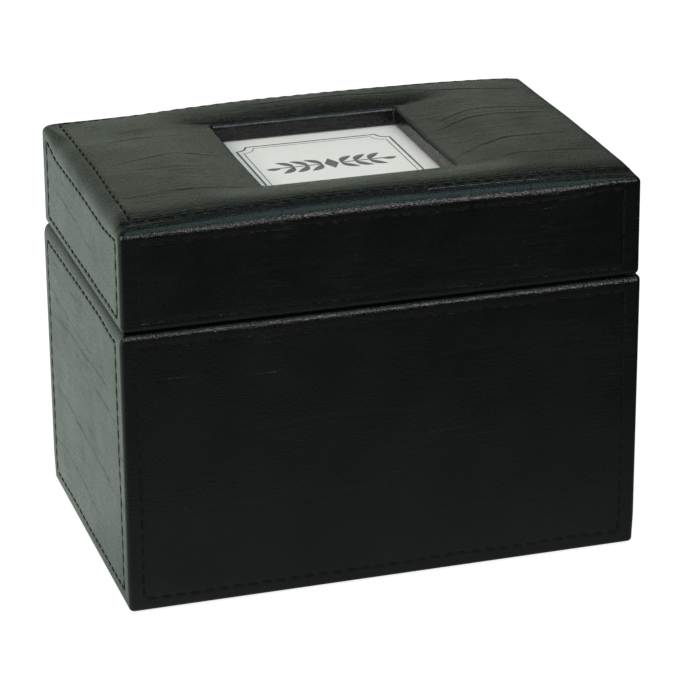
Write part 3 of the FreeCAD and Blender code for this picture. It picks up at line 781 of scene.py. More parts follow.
def run_up_wall(sweep):
    stitched = [LID_LINES[0].low[1], LID_LINES[0].high[1]]
    for v in spaced(LID_LOW, LID_HIGH, ROW_STEP, stitched)[:-1]:
        row = lid_wall_row(sweep.stations, v)
        lift, matt = sweep.on_wall(row, v)
        shown = smooth_step((v - LID_LOW) / SHOWN_FROM)
        sweep.add(row + sweep.out * (lift * shown)[:, None], matt)


# %% Over the padded edge and across the top
CALM = 0.1    # the last share of the way to the window, where the skin lies smooth


def bend_over_edge(sweep):
    """The skin of the wall becomes the skin of the top on the way."""
    bend = station_round(sweep.stations)
    for angle in np.linspace(0, math.pi / 2, 15)[:-1]:
        row = edge_row(sweep.stations, angle)
        lift, matt = sweep.on_top(row, bend * (math.pi / 2 - angle - math.cos(angle)))
        share = smooth_step(angle / (math.pi / 2))
        lift = sweep.on_wall(row, LID_HIGH + LID_ROUND * angle)[0] * (1 - share) + lift * share
        way = sweep.out * math.cos(angle) + sweep.up * math.sin(angle)
        sweep.add(row + way * lift[:, None], matt)


def cross_top(sweep):
    for place_on_top in ([{"from_edge": share} for share in np.linspace(0, 1, 30)[:-1]]
                         + [{"share": share} for share in np.linspace(0, 1, 58)]):
        row = top_row(sweep.stations, **place_on_top)
        lift, matt = sweep.on_top(row)
        calm = smooth_step((1 - place_on_top.get("share", 0)) / CALM)
        sweep.add(row + sweep.up * (lift * calm)[:, None], matt * calm)


# %% Into the window, out under the board and back on the leather's other face
# How far the flange's bend reaches, how much of its corner it cuts off, and a row half-way out.
FLANGE_BEND, FLANGE_CUT, FLANGE_MIDDLE = 0.25, 0.08, 5


def roll_into_window(sweep):
    """Its wall and its flange are drawn flat, which the negative matt says."""
    for angle in np.radians(np.linspace(90, 180, 9))[1:]:
        outside = LIP_LEAN + (WINDOW_ROLL - LIP_LEAN) * (1 + math.cos(angle))
        row = window_row(sweep.stations, outside, LIP - WINDOW_ROLL * (1 - math.sin(angle)))
        sweep.add(row, -smooth_step(-1.2 - 2.2 * math.cos(angle)))
    wall = straight((LIP_LEAN, LIP - WINDOW_ROLL), (0, FLANGE_UNDER + FLANGE_BEND), 5)[1:]
    flange = [(FLANGE_CUT, FLANGE_UNDER + FLANGE_CUT), (FLANGE_BEND, FLANGE_UNDER),
              (FLANGE_MIDDLE, FLANGE_UNDER), (FLANGE, FLANGE_UNDER), (FLANGE, BOARD_UNDER),
              (FLANGE_MIDDLE, BOARD_UNDER), (LEATHER, BOARD_UNDER), (LEATHER, LIP - WINDOW_ROLL)]
    for outside, z in wall + flange:
        sweep.add(window_row(sweep.stations, outside, z), -1.0)


def run_back(sweep):
    stations, inner_rim = sweep.stations, LID_RIM + LEATHER
    rows = under_roll(stations, LEATHER, (150, 120, 90))
    rows += [top_row(stations, share=share, under=LEATHER) for share in np.linspace(1, 0, 12)[1:]]
    rows += [edge_row(stations, angle, LEATHER) for angle in np.linspace(math.pi / 2, 0, 6)]
    rows += [lid_wall_row(stations, v, LEATHER) for v in np.linspace(LID_HIGH, inner_rim, 5)[1:]]
    rows += [at_height(place(stations, WALL, SHARP), v)
             for v in np.linspace(inner_rim, LID_TUCK, 3)]
    for row in rows:
        sweep.add(row)


# %% Sweep the lid cover
lid_sweep = Sweep(make_stations(COLUMN_STEP, LID_RUN, LID_CORNERS))
for step in (turn_over_rim, run_up_wall, bend_over_edge, cross_top, roll_into_window, run_back):
    step(lid_sweep)
    print("lid leather,", step.__name__.replace("_", " ") + ":", len(lid_sweep.rows), "rows")
lid_grid, lid_matt = np.stack(lid_sweep.rows, 1), np.stack(lid_sweep.matt, 1)

# %% [markdown]
# ## Thread
# A lockstitch shows as short bars that dive into a needle hole at each end. Each bar is a small
# two-ply tube laid in the channel, arched between its holes and slanted a little, the way a
# machine stitch lies. Curves would do for a few of them. Hundreds are lighter as one mesh for
# each face.

# %% Lay the stitches
THREAD, RINGS, AROUND, SLANT = 0.29, 9, 8, 0.20
HOLE, DIVE, ARCH = 0.06, -0.42, 0.58    # share left at each hole, depth there, rise between them
PLY, PLY_TURNS = 0.14, 1.6    # how far its two plies stand out, and their turns in a stitch


def lay_stitches(line, on_face):
    """Points and faces of all stitches of one rectangle. on_face(a, v, lift) gives places."""
    runs = list(line.runs())
    start, end, way = np.array(runs).transpose(1, 0, 2)[:, :, None, :]
    s = np.linspace(0, 1, RINGS)[None, :, None]
    spot = start + (end - start) * (HOLE + (1 - 2 * HOLE) * s)
    spot = spot + way * (line.wander(spot[..., 0], spot[..., 1])[..., None] + SLANT * (2 * s - 1))
    a, v, arch = spot[..., 0], spot[..., 1], np.sin(np.pi * s[..., 0]) ** 0.55
    core = on_face(a, v, DIVE + ARCH * arch)
    over = on_face(a, v, DIVE + ARCH * arch + 1) - core
    tangent = unit(np.gradient(core, axis=1))
    aside = unit(np.cross(tangent, unit(over)))
    over = np.cross(aside, tangent)
    turn = np.linspace(0, 2 * np.pi, AROUND, endpoint=False)[None, None, :]
    ply = 1 + PLY * np.cos(2 * (turn - 2 * np.pi * PLY_TURNS * s))
    thick = THREAD * ply * (0.55 + 0.45 * arch[..., None])
    points = (core[:, :, None] + (thick * np.cos(turn))[..., None] * aside[:, :, None]
              + (thick * np.sin(turn))[..., None] * over[:, :, None])
    tube = grid_faces(RINGS, AROUND, closed=(False, True))[:, (0, 3, 2, 1)].tolist()
    tube += [range(AROUND)[::-1], range((RINGS - 1) * AROUND, RINGS * AROUND)]
    faces = [[n * RINGS * AROUND + k for k in face] for n in range(len(runs)) for face in tube]
    return points.reshape(-1, 3), faces


# %% Places on the skins


def on_plan(side, a, out):
    """Places on the plan, counted from its middle, that far along and out of a side."""
    return ALONG[side] * a[..., None] + OUT[side] * out[..., None]


def risen(flat, height):
    return np.concatenate([flat + np.array([0, MIDDLE]), height[..., None]], -1)


def base_place(side):
    """Says where a spot on a base wall's skin is in space."""
    def on_face(a, v, lift):
        out = (half_along(side + 1) + proud(v)
               + wall_skin(side, a, v, BASE_LINES, BASE_CREASES) + lift)
        return risen(on_plan(side, a, out), v)
    return on_face


def lid_place(side):
    """The same for a lid wall, which leans and takes up its edge's height."""
    def on_face(a, v, lift):
        share = np.clip(a / (half_along(side) - LID_CORNERS[0]), -1, 1)
        out = (half_along(side + 1) - wall_inset(side, v)
               + wall_skin(side, a, v, LID_LINES, LID_CREASES) + lift)
        flat = on_plan(side, a, out)
        up = crown(flat[..., 0], flat[..., 1]) + LID_ROUND - edge_round(side, share)
        return risen(flat, v + up * raised(v))
    return on_face


def top_place(x, y, lift):
    """A spot on the top, unrolled: past an edge it goes over the padded rounding."""
    spot = np.stack([x, y])
    bend_angle, shift, drop = np.zeros_like(spot), spot.copy(), np.zeros_like(x)
    for side in range(4):
        axis = int(np.argmax(np.abs(OUT[side])))
        sign = OUT[side][axis]
        along = spot[1 - axis] * ALONG[side][1 - axis]
        bend = edge_round(side, np.clip(along / (half_along(side) - LID_CORNERS[0]), -1, 1))
        start = HALF[axis] - wall_inset(side, EDGE) - bend
        over = np.maximum(spot[axis] * sign - start, 0)
        angle = np.minimum(over / bend, math.pi / 2)
        rolled = over > 0
        shift[axis] = np.where(rolled, sign * (start + bend * np.sin(angle)), shift[axis])
        drop = drop + bend * (1 - np.cos(angle))
        bend_angle[axis] = np.where(rolled, sign * angle, bend_angle[axis])
    skin = top_skin(x, y) + lift
    up = np.cos(np.abs(bend_angle).max(0))
    return np.stack([shift[0] + np.sin(bend_angle[0]) * skin,
                     shift[1] + np.sin(bend_angle[1]) * skin + MIDDLE,
                     top_form(*shift) - drop + up * skin], -1)


# %% [markdown]
# ## Finishes
# Every finish is made of nodes. The leather is a near-black skin with a pebbled grain and fine
# creases along its rolling direction, and the grain gives its sheen the small sparkle that real
# bonded leather has along an edge. A picture of leather would have to be unwrapped onto the box
# and would blur near by, and nodes stay sharp.

# %% Short ways to add nodes


class Nodes:
    """Short ways to add nodes to one tree."""

    def __init__(self, tree):
        self.tree = tree

    def node(self, kind, inputs=None, **settings):
        node = self.tree.nodes.new("ShaderNode" + kind)
        for key, value in settings.items():
            setattr(node, key, value)
        for key, value in (inputs or {}).items():
            if isinstance(value, bpy.types.NodeSocket):
                self.tree.links.new(value, node.inputs[key])
            else:
                node.inputs[key].default_value = value
        return node

    def ramp(self, factor, low, high, start=0.0, end=1.0, **settings):
        return self.node("MapRange", {"Value": factor, "From Min": low, "From Max": high,
                                      "To Min": start, "To Max": end}, **settings).outputs["Result"]

    def maths(self, operation, a, b, **settings):
        return self.node("Math", {0: a, 1: b}, operation=operation, **settings).outputs["Value"]


# %% A finish and its textures


class Finish(Nodes):
    """A material with its main shader. Its textures are in metres and move with the piece."""

    def __init__(self, name, **settings):
        self.material = bpy.data.materials.new(name)
        self.material.use_nodes = True
        super().__init__(self.material.node_tree)
        self.shader = self.tree.nodes["Principled BSDF"]
        for key, value in settings.items():
            self.shader.inputs[key.replace("_", " ")].default_value = value
        self.plain = self.stretched((1, 1, 1))

    def link(self, socket, key):
        self.tree.links.new(socket, self.shader.inputs[key])

    def stretched(self, scale):
        where = self.node("TexCoord").outputs["Object"]
        return self.node("Mapping", {"Vector": where, "Scale": scale}).outputs["Vector"]

    def along_grain(self, aside, along, across):
        """Coordinates stretched along x, or along y on the faces that look aside."""
        mix = self.node("Mix", {"Factor": aside, "A": self.stretched((along, across, across)),
                                "B": self.stretched((across, along, across))}, data_type="VECTOR")
        return mix.outputs["Result"]

    def noise(self, vector, scale, detail=3.0, rough=0.5, warp=0.0):
        return self.node("TexNoise", {"Vector": vector, "Scale": scale, "Detail": detail,
                                      "Roughness": rough, "Distortion": warp}).outputs["Fac"]

    def cells(self, scale, **settings):
        return self.node("TexVoronoi", {"Vector": self.plain, "Scale": scale},
                         **settings).outputs["Distance"]

    def veins(self, vector, width):
        """Thin winding lines: the places where a noise crosses its middle."""
        off_middle = self.maths("SUBTRACT", self.noise(vector, 1.0, 3, 0.6, 0.3), 0.5)
        return self.ramp(self.maths("ABSOLUTE", off_middle, 0.0), 0.0, width, 1.0, 0.0)

    def colour(self, factor, dark, light):
        mix = self.node("Mix", {"Factor": factor, 6: dark, 7: light}, data_type="RGBA")
        self.link(mix.outputs[2], "Base Color")

    def relief(self, *layers):
        """Bumps laid one over the other, each a height, its distance in metres and a strength."""
        under = {}
        for height, distance, strength in layers:
            bump = self.node("Bump", {"Height": height, "Distance": distance,
                                      "Strength": strength, **under}).outputs["Normal"]
            under = {"Normal": bump}
        self.link(bump, "Normal")


def grey(value, tint=(1.0, 1.0, 1.0)):
    return tuple(value * t for t in tint) + (1.0,)


# %% Leather
COOL = (0.76, 1.02, 0.95)                         # black leather is a little cold
PEBBLES, PEBBLE_RELIEF = 2000.0, 0.00014          # cells to the metre, and their height
WRINKLES, HAIRS = (11, 120), (42, 520)            # folds to the metre, along and across the grain


def make_leather(name, dark, light, gloss):
    """Black bonded leather. gloss is its roughness range, from rubbed smooth to matt."""
    f = Finish(name, Specular_IOR_Level=0.42)
    patches = f.noise(f.plain, 55, 4, 0.6)
    f.colour(f.ramp(patches, 0.3, 0.7), grey(dark, COOL), grey(light, COOL))
    facing = f.node("SeparateXYZ", {0: f.node("TexCoord").outputs["Normal"]}).outputs["X"]
    aside = f.ramp(f.maths("ABSOLUTE", facing, 0.0), 0.6, 0.8)
    wrinkles = f.veins(f.along_grain(aside, *WRINKLES), 0.022)
    hairs = f.maths("MULTIPLY", f.veins(f.along_grain(aside, *HAIRS), 0.05), 0.45)
    where = f.ramp(f.noise(f.plain, 38, 2), 0.45, 0.65)
    lines = f.maths("MULTIPLY", f.maths("MAXIMUM", wrinkles, hairs), where)
    pebble = f.cells(PEBBLES, feature="SMOOTH_F1")
    soft = f.noise(f.along_grain(aside, 260, 1300), 1.0, 2, 0.5, 0.4)
    # The skin's own "matt": above nought it is worn dull, below nought it is drawn flat.
    wear = f.node("Attribute", attribute_name="matt").outputs["Fac"]
    drawn_flat = f.maths("ADD", 1.0, f.maths("MINIMUM", wear, 0.0))
    f.relief((f.maths("MULTIPLY", pebble, drawn_flat), PEBBLE_RELIEF, 0.9),
             (soft, 0.00005, 0.8), (f.maths("SUBTRACT", 1.0, lines), 0.00006, 0.8))
    matt = f.maths("MAXIMUM", wear, f.maths("MULTIPLY", lines, 0.7))
    uneven = f.ramp(f.maths("ADD", f.maths("MULTIPLY", pebble, 0.5), patches), 0.35, 1.0, *gloss)
    f.link(f.maths("ADD", uneven, f.maths("MULTIPLY", matt, 0.2)), "Roughness")
    return f.material


leather = make_leather("black bonded leather", 0.0026, 0.0044, (0.20, 0.31))
hinge_leather = make_leather("hinge leather", 0.0036, 0.0060, (0.30, 0.42))
print("leathers:", leather.name, "and", hinge_leather.name)

# %% [markdown]
# ## Thread, board, cloth, felt, foam, card, film and ink
# The other finishes are plainer. One fine texture sets both the colour and the relief of most of
# them: fibres in thread, felt and card, open cells in foam. Greyboard adds slow clouds to its
# flecks, and the suede cloth has a short nap that was brushed one way.

# %% Thread, felt, foam, card and ink


def make_textured(name, dark, light, relief, noise=None, cells=None, **settings):
    """A finish whose one fine texture sets its colour and, where it has any, its relief."""
    f = Finish(name, **settings)
    texture = f.noise(f.plain, *noise) if noise else f.cells(cells)
    f.colour(texture, dark, light)
    if relief:
        f.relief((texture, *relief))
    return f.material


thread = make_textured("black thread", grey(0.005), grey(0.017), (0.00005, 0.6),
                       noise=(3800, 3, 0.7), Roughness=0.9, Specular_IOR_Level=0.0)
felt = make_textured("black felt", grey(0.008), grey(0.03), (0.0004, 0.9),
                     noise=(1300, 6, 0.8, 0.8), Roughness=1.0, Sheen_Weight=0.25,
                     Specular_IOR_Level=0.15)
foam = make_textured("padding foam", (0.52, 0.51, 0.44, 1), (0.74, 0.73, 0.66, 1), (0.0003, 0.8),
                     cells=1500.0, Roughness=0.9, Specular_IOR_Level=0.2)
card = make_textured("label card", (0.70, 0.70, 0.655, 1), (0.75, 0.75, 0.705, 1),
                     (0.00004, 0.5), noise=(1800, 5, 0.7), Roughness=0.75)
ink = make_textured("grey ink", grey(0.02), grey(0.06), None, noise=(1500, 3), Roughness=0.6)
print("textured:", ", ".join(finish.name for finish in (thread, felt, foam, card, ink)))

# %% Board, lining cloth and film


def make_board():
    f = Finish("greyboard", Roughness=0.9)
    flecks, clouds = f.noise(f.plain, 900, 5, 0.7), f.noise(f.plain, 60, 3)
    mottle = f.maths("ADD", flecks, f.maths("MULTIPLY", clouds, 0.4))
    f.colour(f.ramp(mottle, 0.4, 1.0), (0.17, 0.165, 0.15, 1), (0.31, 0.30, 0.275, 1))
    f.relief((flecks, 0.0002, 0.7))
    return f.material


def make_lining():
    f = Finish("black suede cloth", Roughness=0.95, Sheen_Weight=0.35, Sheen_Roughness=0.4,
               Specular_IOR_Level=0.2)
    nap = f.noise(f.plain, 2400, 4, 0.75)
    brushed = f.noise(f.stretched((60, 60, 25)), 1.0, 4, 0.6, 1.2)
    pile = f.maths("ADD", f.maths("MULTIPLY", nap, 0.6), f.maths("MULTIPLY", brushed, 0.6))
    f.colour(f.ramp(pile, 0.4, 0.8), grey(0.010), grey(0.026))
    f.relief((nap, 0.00018, 0.8), (brushed, 0.0004, 0.25))
    return f.material


def make_film():
    f = Finish("clear film", Base_Color=(0.96, 0.98, 0.97, 1), Alpha=0.06, IOR=1.45)
    haze = f.noise(f.plain, 25, 3)
    f.link(f.ramp(haze, 0.2, 0.8, 0.10, 0.20), "Roughness")
    f.relief((haze, 0.0006, 0.3))
    return f.material


greyboard, lining_cloth, film = make_board(), make_lining(), make_film()
print("finishes:", len(bpy.data.materials))

# %% Make the covers
skin_piece("base_leather", base_grid, "base", leather, "cover_leather", "base_cover",
           matt=base_matt)
skin_piece("lid_leather", lid_grid, "lid", leather, "cover_leather", "lid_cover", matt=lid_matt)

# %% Stitch every face
for body, lines, wall_place in (("base", BASE_LINES, base_place), ("lid", LID_LINES, lid_place)):
    for side, line in lines.items():
        points, faces = lay_stitches(line, wall_place(side))
        face_outward(new_piece(line.name, points, faces, body, thread))
points, faces = lay_stitches(TOP_LINE, top_place)
new_piece(TOP_LINE.name, points, faces, "lid", thread)
print("thread faces on the top:", len(faces))

# %% [markdown]
# ## Foam
# The foam between the top board and the leather is a low ring round the window. It fills the
# leather from below, so it takes the same crown, thins out at the padded edge and rounds off at
# the window. It is hidden in the whole box, so a coarser sweep of the same rows is enough.

# %% Make the foam
FOAM_GAP, FOAM_LIFT, FOAM_EDGE = 0.05, 0.02, 0.2    # under the leather, on the board, its edge


def make_foam_pad():
    stations = make_stations(3.0, LID_RUN, LID_CORNERS)
    floor, under = BOARD_TOP + FOAM_LIFT, LEATHER + FOAM_GAP
    start = math.asin((floor - (EDGE - LID_ROUND)) / (LID_ROUND - under))
    rows = [edge_row(stations, angle, under) for angle in np.linspace(start, math.pi / 2, 6)]
    rows += [top_row(stations, share=share, under=under) for share in np.linspace(0, 1, 16)]
    rows += under_roll(stations, under, (120, 150, 180))
    rows += [at_height(top_row(stations, share=share)[:, :2], floor)
             for share in np.linspace(1, 0, 10)]
    rows[0][:, 2] = np.maximum(rows[0][:, 2], floor + FOAM_EDGE)
    for row in rows:
        row[:, 2] = np.maximum(row[:, 2], floor + FOAM_LIFT)
    return np.stack(rows + [at_height(rows[0][:, :2], floor)], 1)


foam_pad = skin_piece("lid_foam", make_foam_pad(), "lid", foam, "foam", "lid_padding")

# %% [markdown]
# ## Linings and felt
# These are thin panels, wrapped in cloth or cut with a soft edge. A cube with a bevel would be
# round enough, but too coarse to be uneven. So each starts as a fine box whose points near an
# edge are pulled onto a small radius, and its face then sinks a little here and there.

# %% Soft-edged sheets


def sheet_points(low, high, round_off, cell):
    """A closed box of points with rounded edges."""
    cuts = []
    for a, b in zip(low, high):
        edge = [0, round_off * 0.45, round_off]
        inner = np.linspace(a + round_off, b - round_off, max(2, int((b - a) / cell)))[1:-1]
        cuts.append(np.unique(np.concatenate([a + np.array(edge), inner, b - np.array(edge)])))
    points, faces = [], []
    for axis in range(3):
        u, v = (axis + 1) % 3, (axis + 2) % 3
        for value, turned in ((low[axis], True), (high[axis], False)):
            grid = np.zeros((len(cuts[u]), len(cuts[v]), 3))
            grid[..., axis] = value
            grid[..., u], grid[..., v] = np.meshgrid(cuts[u], cuts[v], indexing="ij")
            quads = grid_faces(len(cuts[u]), len(cuts[v]), closed=(False, False))
            quads += sum(len(p) for p in points)
            points.append(grid.reshape(-1, 3))
            faces.append(quads[:, ::-1] if turned else quads)
    points, faces = np.concatenate(points), np.concatenate(faces)
    points, back = np.unique(np.round(points, 5), axis=0, return_inverse=True)
    core = np.clip(points, low + round_off, high - round_off)
    return core + unit(points - core) * round_off, back.reshape(-1)[faces]


def soft_sheet(name, low, high, body, material, slot, *nodes,
               round_off=0.25, cell=3.0, uneven=0.06):
    """A thin sheet whose edges are rounded off and whose faces are a little uneven."""
    low, high = np.array(low, float), np.array(high, float)
    points, faces = sheet_points(low, high, round_off, cell)
    thin = int(np.argmin(high - low))
    u, v = [axis for axis in range(3) if axis != thin]
    edge = np.minimum(np.minimum(points[:, u] - low[u], high[u] - points[:, u]),
                      np.minimum(points[:, v] - low[v], high[v] - points[:, v]))
    middle = (low[thin] + high[thin]) / 2
    wave = uneven * (ripple(points[:, u] + 90, points[:, v] + 90, 19, 8) - 1)
    points[:, thin] += np.sign(points[:, thin] - middle) * wave * smooth_step(edge / 6)
    piece = new_piece(name, points, faces, body, material)
    if nodes:
        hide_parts(*nodes)
    return piece


# %% Line the base and the lid
for body in ("base", "lid"):
    for panel in ("floor", "top", "front", "rear", "left", "right"):
        node = f"{body}_{panel}_lining"
        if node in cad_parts:
            piece = soft_sheet(node + "_cloth", *node_box(node), body, lining_cloth,
                               "lining_cloth", node)
            print(node, "faces:", len(piece.data.polygons))

# %% Felt under the base
# A sheet of felt covers the turned-under leather, and a second one fills the space inside it.
low, high = node_box("base_bottom_sheet")
felt_sheet = soft_sheet("base_felt", low, (high[0], high[1], FOOT), "base", felt, "bottom_felt",
                        "base_bottom_sheet", round_off=0.2, uneven=0.03)
reach_x, reach_y = HALF - (TURN_UNDER + 0.4)
soft_sheet("base_felt_filler", (-reach_x, MIDDLE - reach_y, 0.2),
           (reach_x, MIDDLE + reach_y, high[2]), "base", felt, "bottom_felt", round_off=0.3)
print("bottom felt:", len(felt_sheet.data.polygons), "faces")

# %% [markdown]
# ## Hinge
# A strip of thinner leather is glued down the back across the gap. It could be cut in two at
# the seam, but here it is one strip, whose rows lie closer together round the seam.

# %% Make the hinge
CUT_EDGE, CAP_STEPS = 0.25, 4    # how far a cut edge is rounded, and in how many steps


def hinge_strip():
    """A closed loop of rows, cut finely where it folds, along the back."""
    low, high = node_box("hinge_strip")
    columns = np.linspace(low[0] + 0.3, high[0] - 0.3, 60)
    rows = spaced(low[2] + 0.3, high[2] - 0.3, 1.2, [SEAM], fine=0.16, reach=2.0)
    half, middle = (high[1] - low[1]) / 2, (high[1] + low[1]) / 2
    outer, inner = (np.column_stack([np.full(len(rows), y), rows]) for y in (high[1], low[1]))
    turn = np.arange(1, CAP_STEPS) / CAP_STEPS * math.pi
    cap = np.column_stack([half * np.cos(turn), CUT_EDGE * np.sin(turn)])
    loop = np.concatenate([outer, (middle, rows[-1]) + cap, inner[::-1], (middle, rows[0]) - cap])
    n, m = len(columns), len(loop)
    grid = np.zeros((n, m, 3))
    grid[..., 0], grid[..., 1:] = columns[:, None], loop
    faces = grid_faces(n, m, closed=(False, True)).tolist()
    faces += [range(m), range((n - 1) * m, n * m)[::-1]]
    return grid.reshape(-1, 3), faces


points, faces = hinge_strip()
hinge = new_piece("hinge_leather", points, faces, None, hinge_leather)
face_outward(hinge)
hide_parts("hinge_strip")
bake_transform(hinge)
print("hinge strip:", len(faces), "faces")

# %% [markdown]
# ## Label
# A pale card lies under the film, printed with a double ruled frame whose corners turn in, and
# a plain spray of leaves. A picture on the card would be the usual way. Strokes of ink that
# stand a few hundredths of a millimetre high need none and stay sharp from near by.

# %% Make the card
low, high = node_box("label_card")
card_middle, card_top = (low + high) / 2, high[2] - 0.08
soft_sheet("label_card_paper", low, (high[0], high[1], card_top), "lid", card, "card",
           "label_card", round_off=0.1, uneven=0.0)
print("card:", np.round(high - low, 1), "mm")

# %% Strokes of ink
INK, THINNEST = 0.05, 0.08    # how thick the ink is, and the width of a leaf's tips


def ribbon(path, width, closed, height):
    """A flat closed strip of ink along a path."""
    path = np.array(path, float)
    ahead = np.roll(path, -1, 0) - np.roll(path, 1, 0)
    if not closed:
        ahead[0], ahead[-1] = path[1] - path[0], path[-1] - path[-2]
    ahead = unit(ahead)
    side = np.stack([-ahead[:, 1], ahead[:, 0]], 1)
    width = np.broadcast_to(np.asarray(width, float), len(path))[:, None] / 2
    left, right = path + side * width, path - side * width
    n, bottom = len(path), height - INK
    points = np.concatenate([at_height(left, height), at_height(right, height),
                             at_height(right, bottom), at_height(left, bottom)])
    faces = []
    for i in range(n if closed else n - 1):
        j = (i + 1) % n
        for k in range(4):
            m = (k + 1) % 4
            faces.append((k * n + i, k * n + j, m * n + j, m * n + i))
    if not closed:
        faces.append((0, n, 2 * n, 3 * n))
        faces.append((n - 1, 4 * n - 1, 3 * n - 1, 2 * n - 1))
    return points, faces


def notched_frame(half_x, half_y, notch):
    """A rectangle whose corners are cut by inward quarter circles."""
    path = []
    for sx, sy, first in ((1, 1, 180), (-1, 1, 270), (-1, -1, 0), (1, -1, 90)):
        for t in np.radians(np.linspace(first + 90, first, 10)):
            path.append((sx * half_x + notch * math.cos(t), sy * half_y + notch * math.sin(t)))
    return path


def leaf(start, way, length, width):
    """A pointed leaf: a short stroke that swells and closes again."""
    steps = np.linspace(0, 1, 15)
    bend = 0.12 * length * np.sin(steps * math.pi) * (1 if way > 0 else -1)
    along = np.array([math.cos(way), math.sin(way)])
    across = np.array([-along[1], along[0]])
    path = np.array(start) + np.outer(steps * length, along) + np.outer(bend, across)
    return path, np.maximum(width * np.sin(math.pi * steps) ** 0.8, THINNEST)


# %% Print the label
strokes = [(notched_frame(27.5, 25.5, 4.0), 0.75, True),
           (notched_frame(25.6, 23.6, 4.4), 0.35, True),
           ([(0, -5.2), (0, 0), (0, 5.2)], (0.1, 5.0, 0.1), False)]
for sign in (1, -1):
    sprig = [([(3.2, 0), (10, 0), (18.5, 0)], 0.8), leaf((18.0, 0), 0.0, 5.0, 2.6)]
    sprig += [leaf((reach - 1.6, 0), way, 7.6, 2.7)
              for reach in (5.0, 10.0, 15.0) for way in (0.85, -0.85)]
    strokes += [(np.array(path) * (sign, 1), width, False) for path, width in sprig]
points, faces = [], []
for path, width, closed in strokes:
    p, f = ribbon(path, width, closed, card_top + 0.03)
    first = sum(len(q) for q in points)
    points.append(p)
    faces += [tuple(first + k for k in face) for face in f]
points = np.concatenate(points) + (card_middle[0], card_middle[1], 0)
label_print = new_piece("label_print", points, faces, "lid", ink)
face_outward(label_print)
print("label strokes:", len(strokes))

# %% Give the solids that stay their finish
for name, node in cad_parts.items():
    if name.endswith("_board") or name == "window_film":
        node.data.materials.clear()
        node.data.materials.append(film if name == "window_film" else greyboard)

# %% [markdown]
# ## Floor and light
# Black leather shows the room round it more than its own colour, so each kind of ray meets its
# own backdrop. The camera, and whatever looks through the film, sees white, with the box's own
# shadow on the floor. Gloss sees a studio that is dark in front and above and pale behind. Soft
# light gets one plain level from all round. The lamps lay the bright lines along the edges.

# %% One shader for each kind of ray
PLAIN = 0.45    # the level of the soft light


def choose_by_ray(nodes, seen, mirrored, plain):
    """One shader for the camera and through glass, one for gloss and one for soft light."""
    rays = nodes.node("LightPath").outputs
    gloss = nodes.node("MixShader", {"Fac": rays["Is Glossy Ray"], 1: plain, 2: mirrored})
    clear = nodes.maths("ADD", rays["Is Camera Ray"], rays["Is Transmission Ray"], use_clamp=True)
    return nodes.node("MixShader", {"Fac": clear, 1: gloss.outputs[0], 2: seen}).outputs[0]


# %% Make the floor
# In gloss the floor brightens from front to back, goes pale at the box and darker at its right.
FLOOR_SIZE, FLOOR_TINT, WHITE, PALE = 6.0, (0.85, 1.0, 0.88), 0.84, 0.30
FLOOR_FRONT, FLOOR_NEAR, FLOOR_BACK, FLOOR_RIGHT = 0.03, 0.28, 0.80, 0.30
FRONT_SPAN, BOX_SPAN, RIGHT_SPAN, SLANT_BACK = (-0.40, -0.10), (-0.05, 0.08), (0.12, 0.24), 0.5


def floor_glow(f):
    spot = f.node("SeparateXYZ", {0: f.plain}).outputs
    back = f.maths("SUBTRACT", spot["Y"], f.maths("MULTIPLY", spot["X"], SLANT_BACK))
    front = f.ramp(back, *FRONT_SPAN, FLOOR_FRONT, FLOOR_NEAR)
    right = f.ramp(spot["X"], *RIGHT_SPAN, 1.0, FLOOR_RIGHT)
    return f.maths("MULTIPLY", f.ramp(back, *BOX_SPAN, front, FLOOR_BACK), right)


def make_floor():
    mesh = bpy.data.meshes.new("floor")
    corners = [(x * FLOOR_SIZE, y * FLOOR_SIZE, 0) for x, y in ((-1, -1), (1, -1), (1, 1), (-1, 1))]
    mesh.from_pydata(corners, [], [(0, 1, 2, 3)])
    floor = bpy.data.objects.new("floor", mesh)
    bpy.context.scene.collection.objects.link(floor)
    f = Finish("studio floor")
    f.tree.nodes.remove(f.shader)
    mirrored, plain, white = (
        f.node("Emission", {"Color": colour, "Strength": strength}).outputs[0]
        for colour, strength in ((grey(1.0, FLOOR_TINT), floor_glow(f)), (grey(1.0), PLAIN),
                                 (grey(1.0), WHITE)))
    pale = f.node("BsdfDiffuse", {"Color": grey(PALE)}).outputs[0]
    seen = f.node("AddShader", {0: white, 1: pale}).outputs[0]
    f.tree.links.new(choose_by_ray(f, seen, mirrored, plain),
                     f.tree.nodes["Material Output"].inputs["Surface"])
    mesh.materials.append(f.material)
    floor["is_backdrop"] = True
    return floor


print("floor:", make_floor().name)

# %% Make the room
ROOM_TINT = (0.87, 1.0, 0.82)
ROOM_FRONT, ROOM_BACK, ROOM_ABOVE, ROOM_RIGHT = 0.05, 0.54, 0.02, 0.18
DEPTH_SPAN, RISE_SPAN, ASIDE_SPAN = (-0.3, 0.75), (0.40, 0.57), (0.31, 0.48)


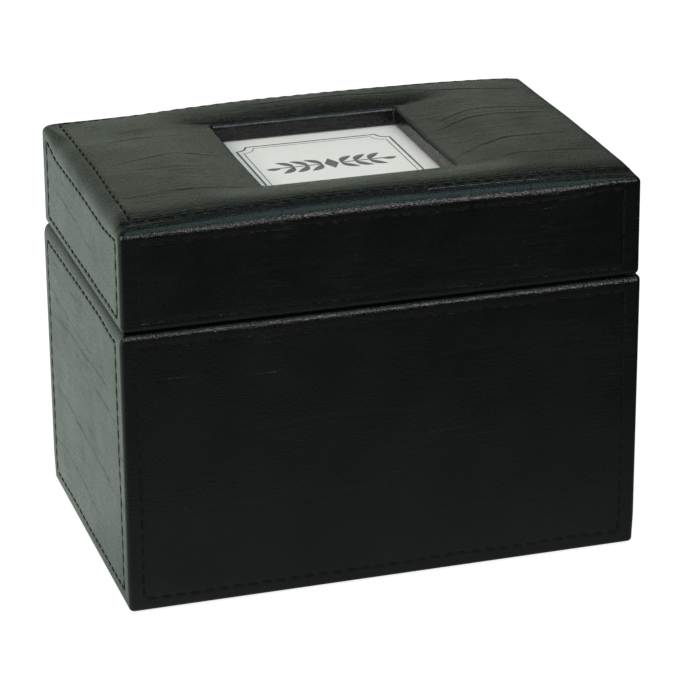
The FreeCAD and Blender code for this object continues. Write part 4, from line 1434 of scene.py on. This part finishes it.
def room_level(sky):
    """The room is dark in front, pale behind, and dark again above and at the right."""
    way = sky.node("TexCoord").outputs["Generated"]
    parts = sky.node("SeparateXYZ", {0: way}).outputs
    soft = {"interpolation_type": "SMOOTHSTEP"}
    level = sky.ramp(parts["Y"], *DEPTH_SPAN, ROOM_FRONT, ROOM_BACK, **soft)
    level = sky.ramp(parts["Z"], *RISE_SPAN, level, ROOM_ABOVE, **soft)
    aside = sky.ramp(parts["X"], *ASIDE_SPAN, 1.0, ROOM_RIGHT, **soft)
    return sky.maths("MULTIPLY", level, aside)


def make_world():
    world = bpy.data.worlds.new("studio")
    bpy.context.scene.world = world
    world.use_nodes = True
    world.node_tree.nodes.clear()
    sky = Nodes(world.node_tree)
    seen, room, plain = (
        sky.node("Background", {"Color": colour, "Strength": strength}).outputs[0]
        for colour, strength in ((grey(1.0), 1.0), (grey(1.0, ROOM_TINT), room_level(sky)),
                                 (grey(1.0), PLAIN)))
    sky.node("OutputWorld", {"Surface": choose_by_ray(sky, seen, room, plain)})
    return world


print("world:", make_world().name)

# %% Hang the lamps
# Each lamp's name, place, aim, size, power in watts and colour. Lengths are in metres here.
LID_EDGE = (0, -0.058, 0.13)
LAMPS = (
    ("front lamp", (0.24, -1.03, 0.77), LID_EDGE, (0.50, 0.46), 2.6, (1.0, 0.93, 0.94)),
    ("front lamp at the right", (0.50, -1.03, 0.72), LID_EDGE, (0.26, 0.30), 2.2,
     (1.0, 0.97, 0.98)),
    ("overhead softbox", (0.35, -0.155, 1.45), (0.35, -0.155, 0.0), (0.9, 1.2), 4.6,
     (0.66, 0.97, 1.0)),
    ("left softbox", (-1.15, -0.45, 0.95), (0, 0, 0.10), (0.7, 0.7), 12, (1.0, 0.93, 0.90)),
)
for name, at, aim, size, power, colour in LAMPS:
    data = bpy.data.lights.new(name, "AREA")
    data.shape, data.size, data.size_y = "RECTANGLE", *size
    data.energy, data.color = power, colour
    lamp = bpy.data.objects.new(name, data)
    lamp.location = at
    lamp.rotation_mode = "QUATERNION"
    lamp.rotation_quaternion = (Vector(aim) - Vector(at)).to_track_quat("-Z", "Y")
    bpy.context.scene.collection.objects.link(lamp)
bpy.context.scene.view_settings.view_transform = "Standard"
print("lamps:", len(LAMPS))

# %% Write the sizes and finish
low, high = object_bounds()
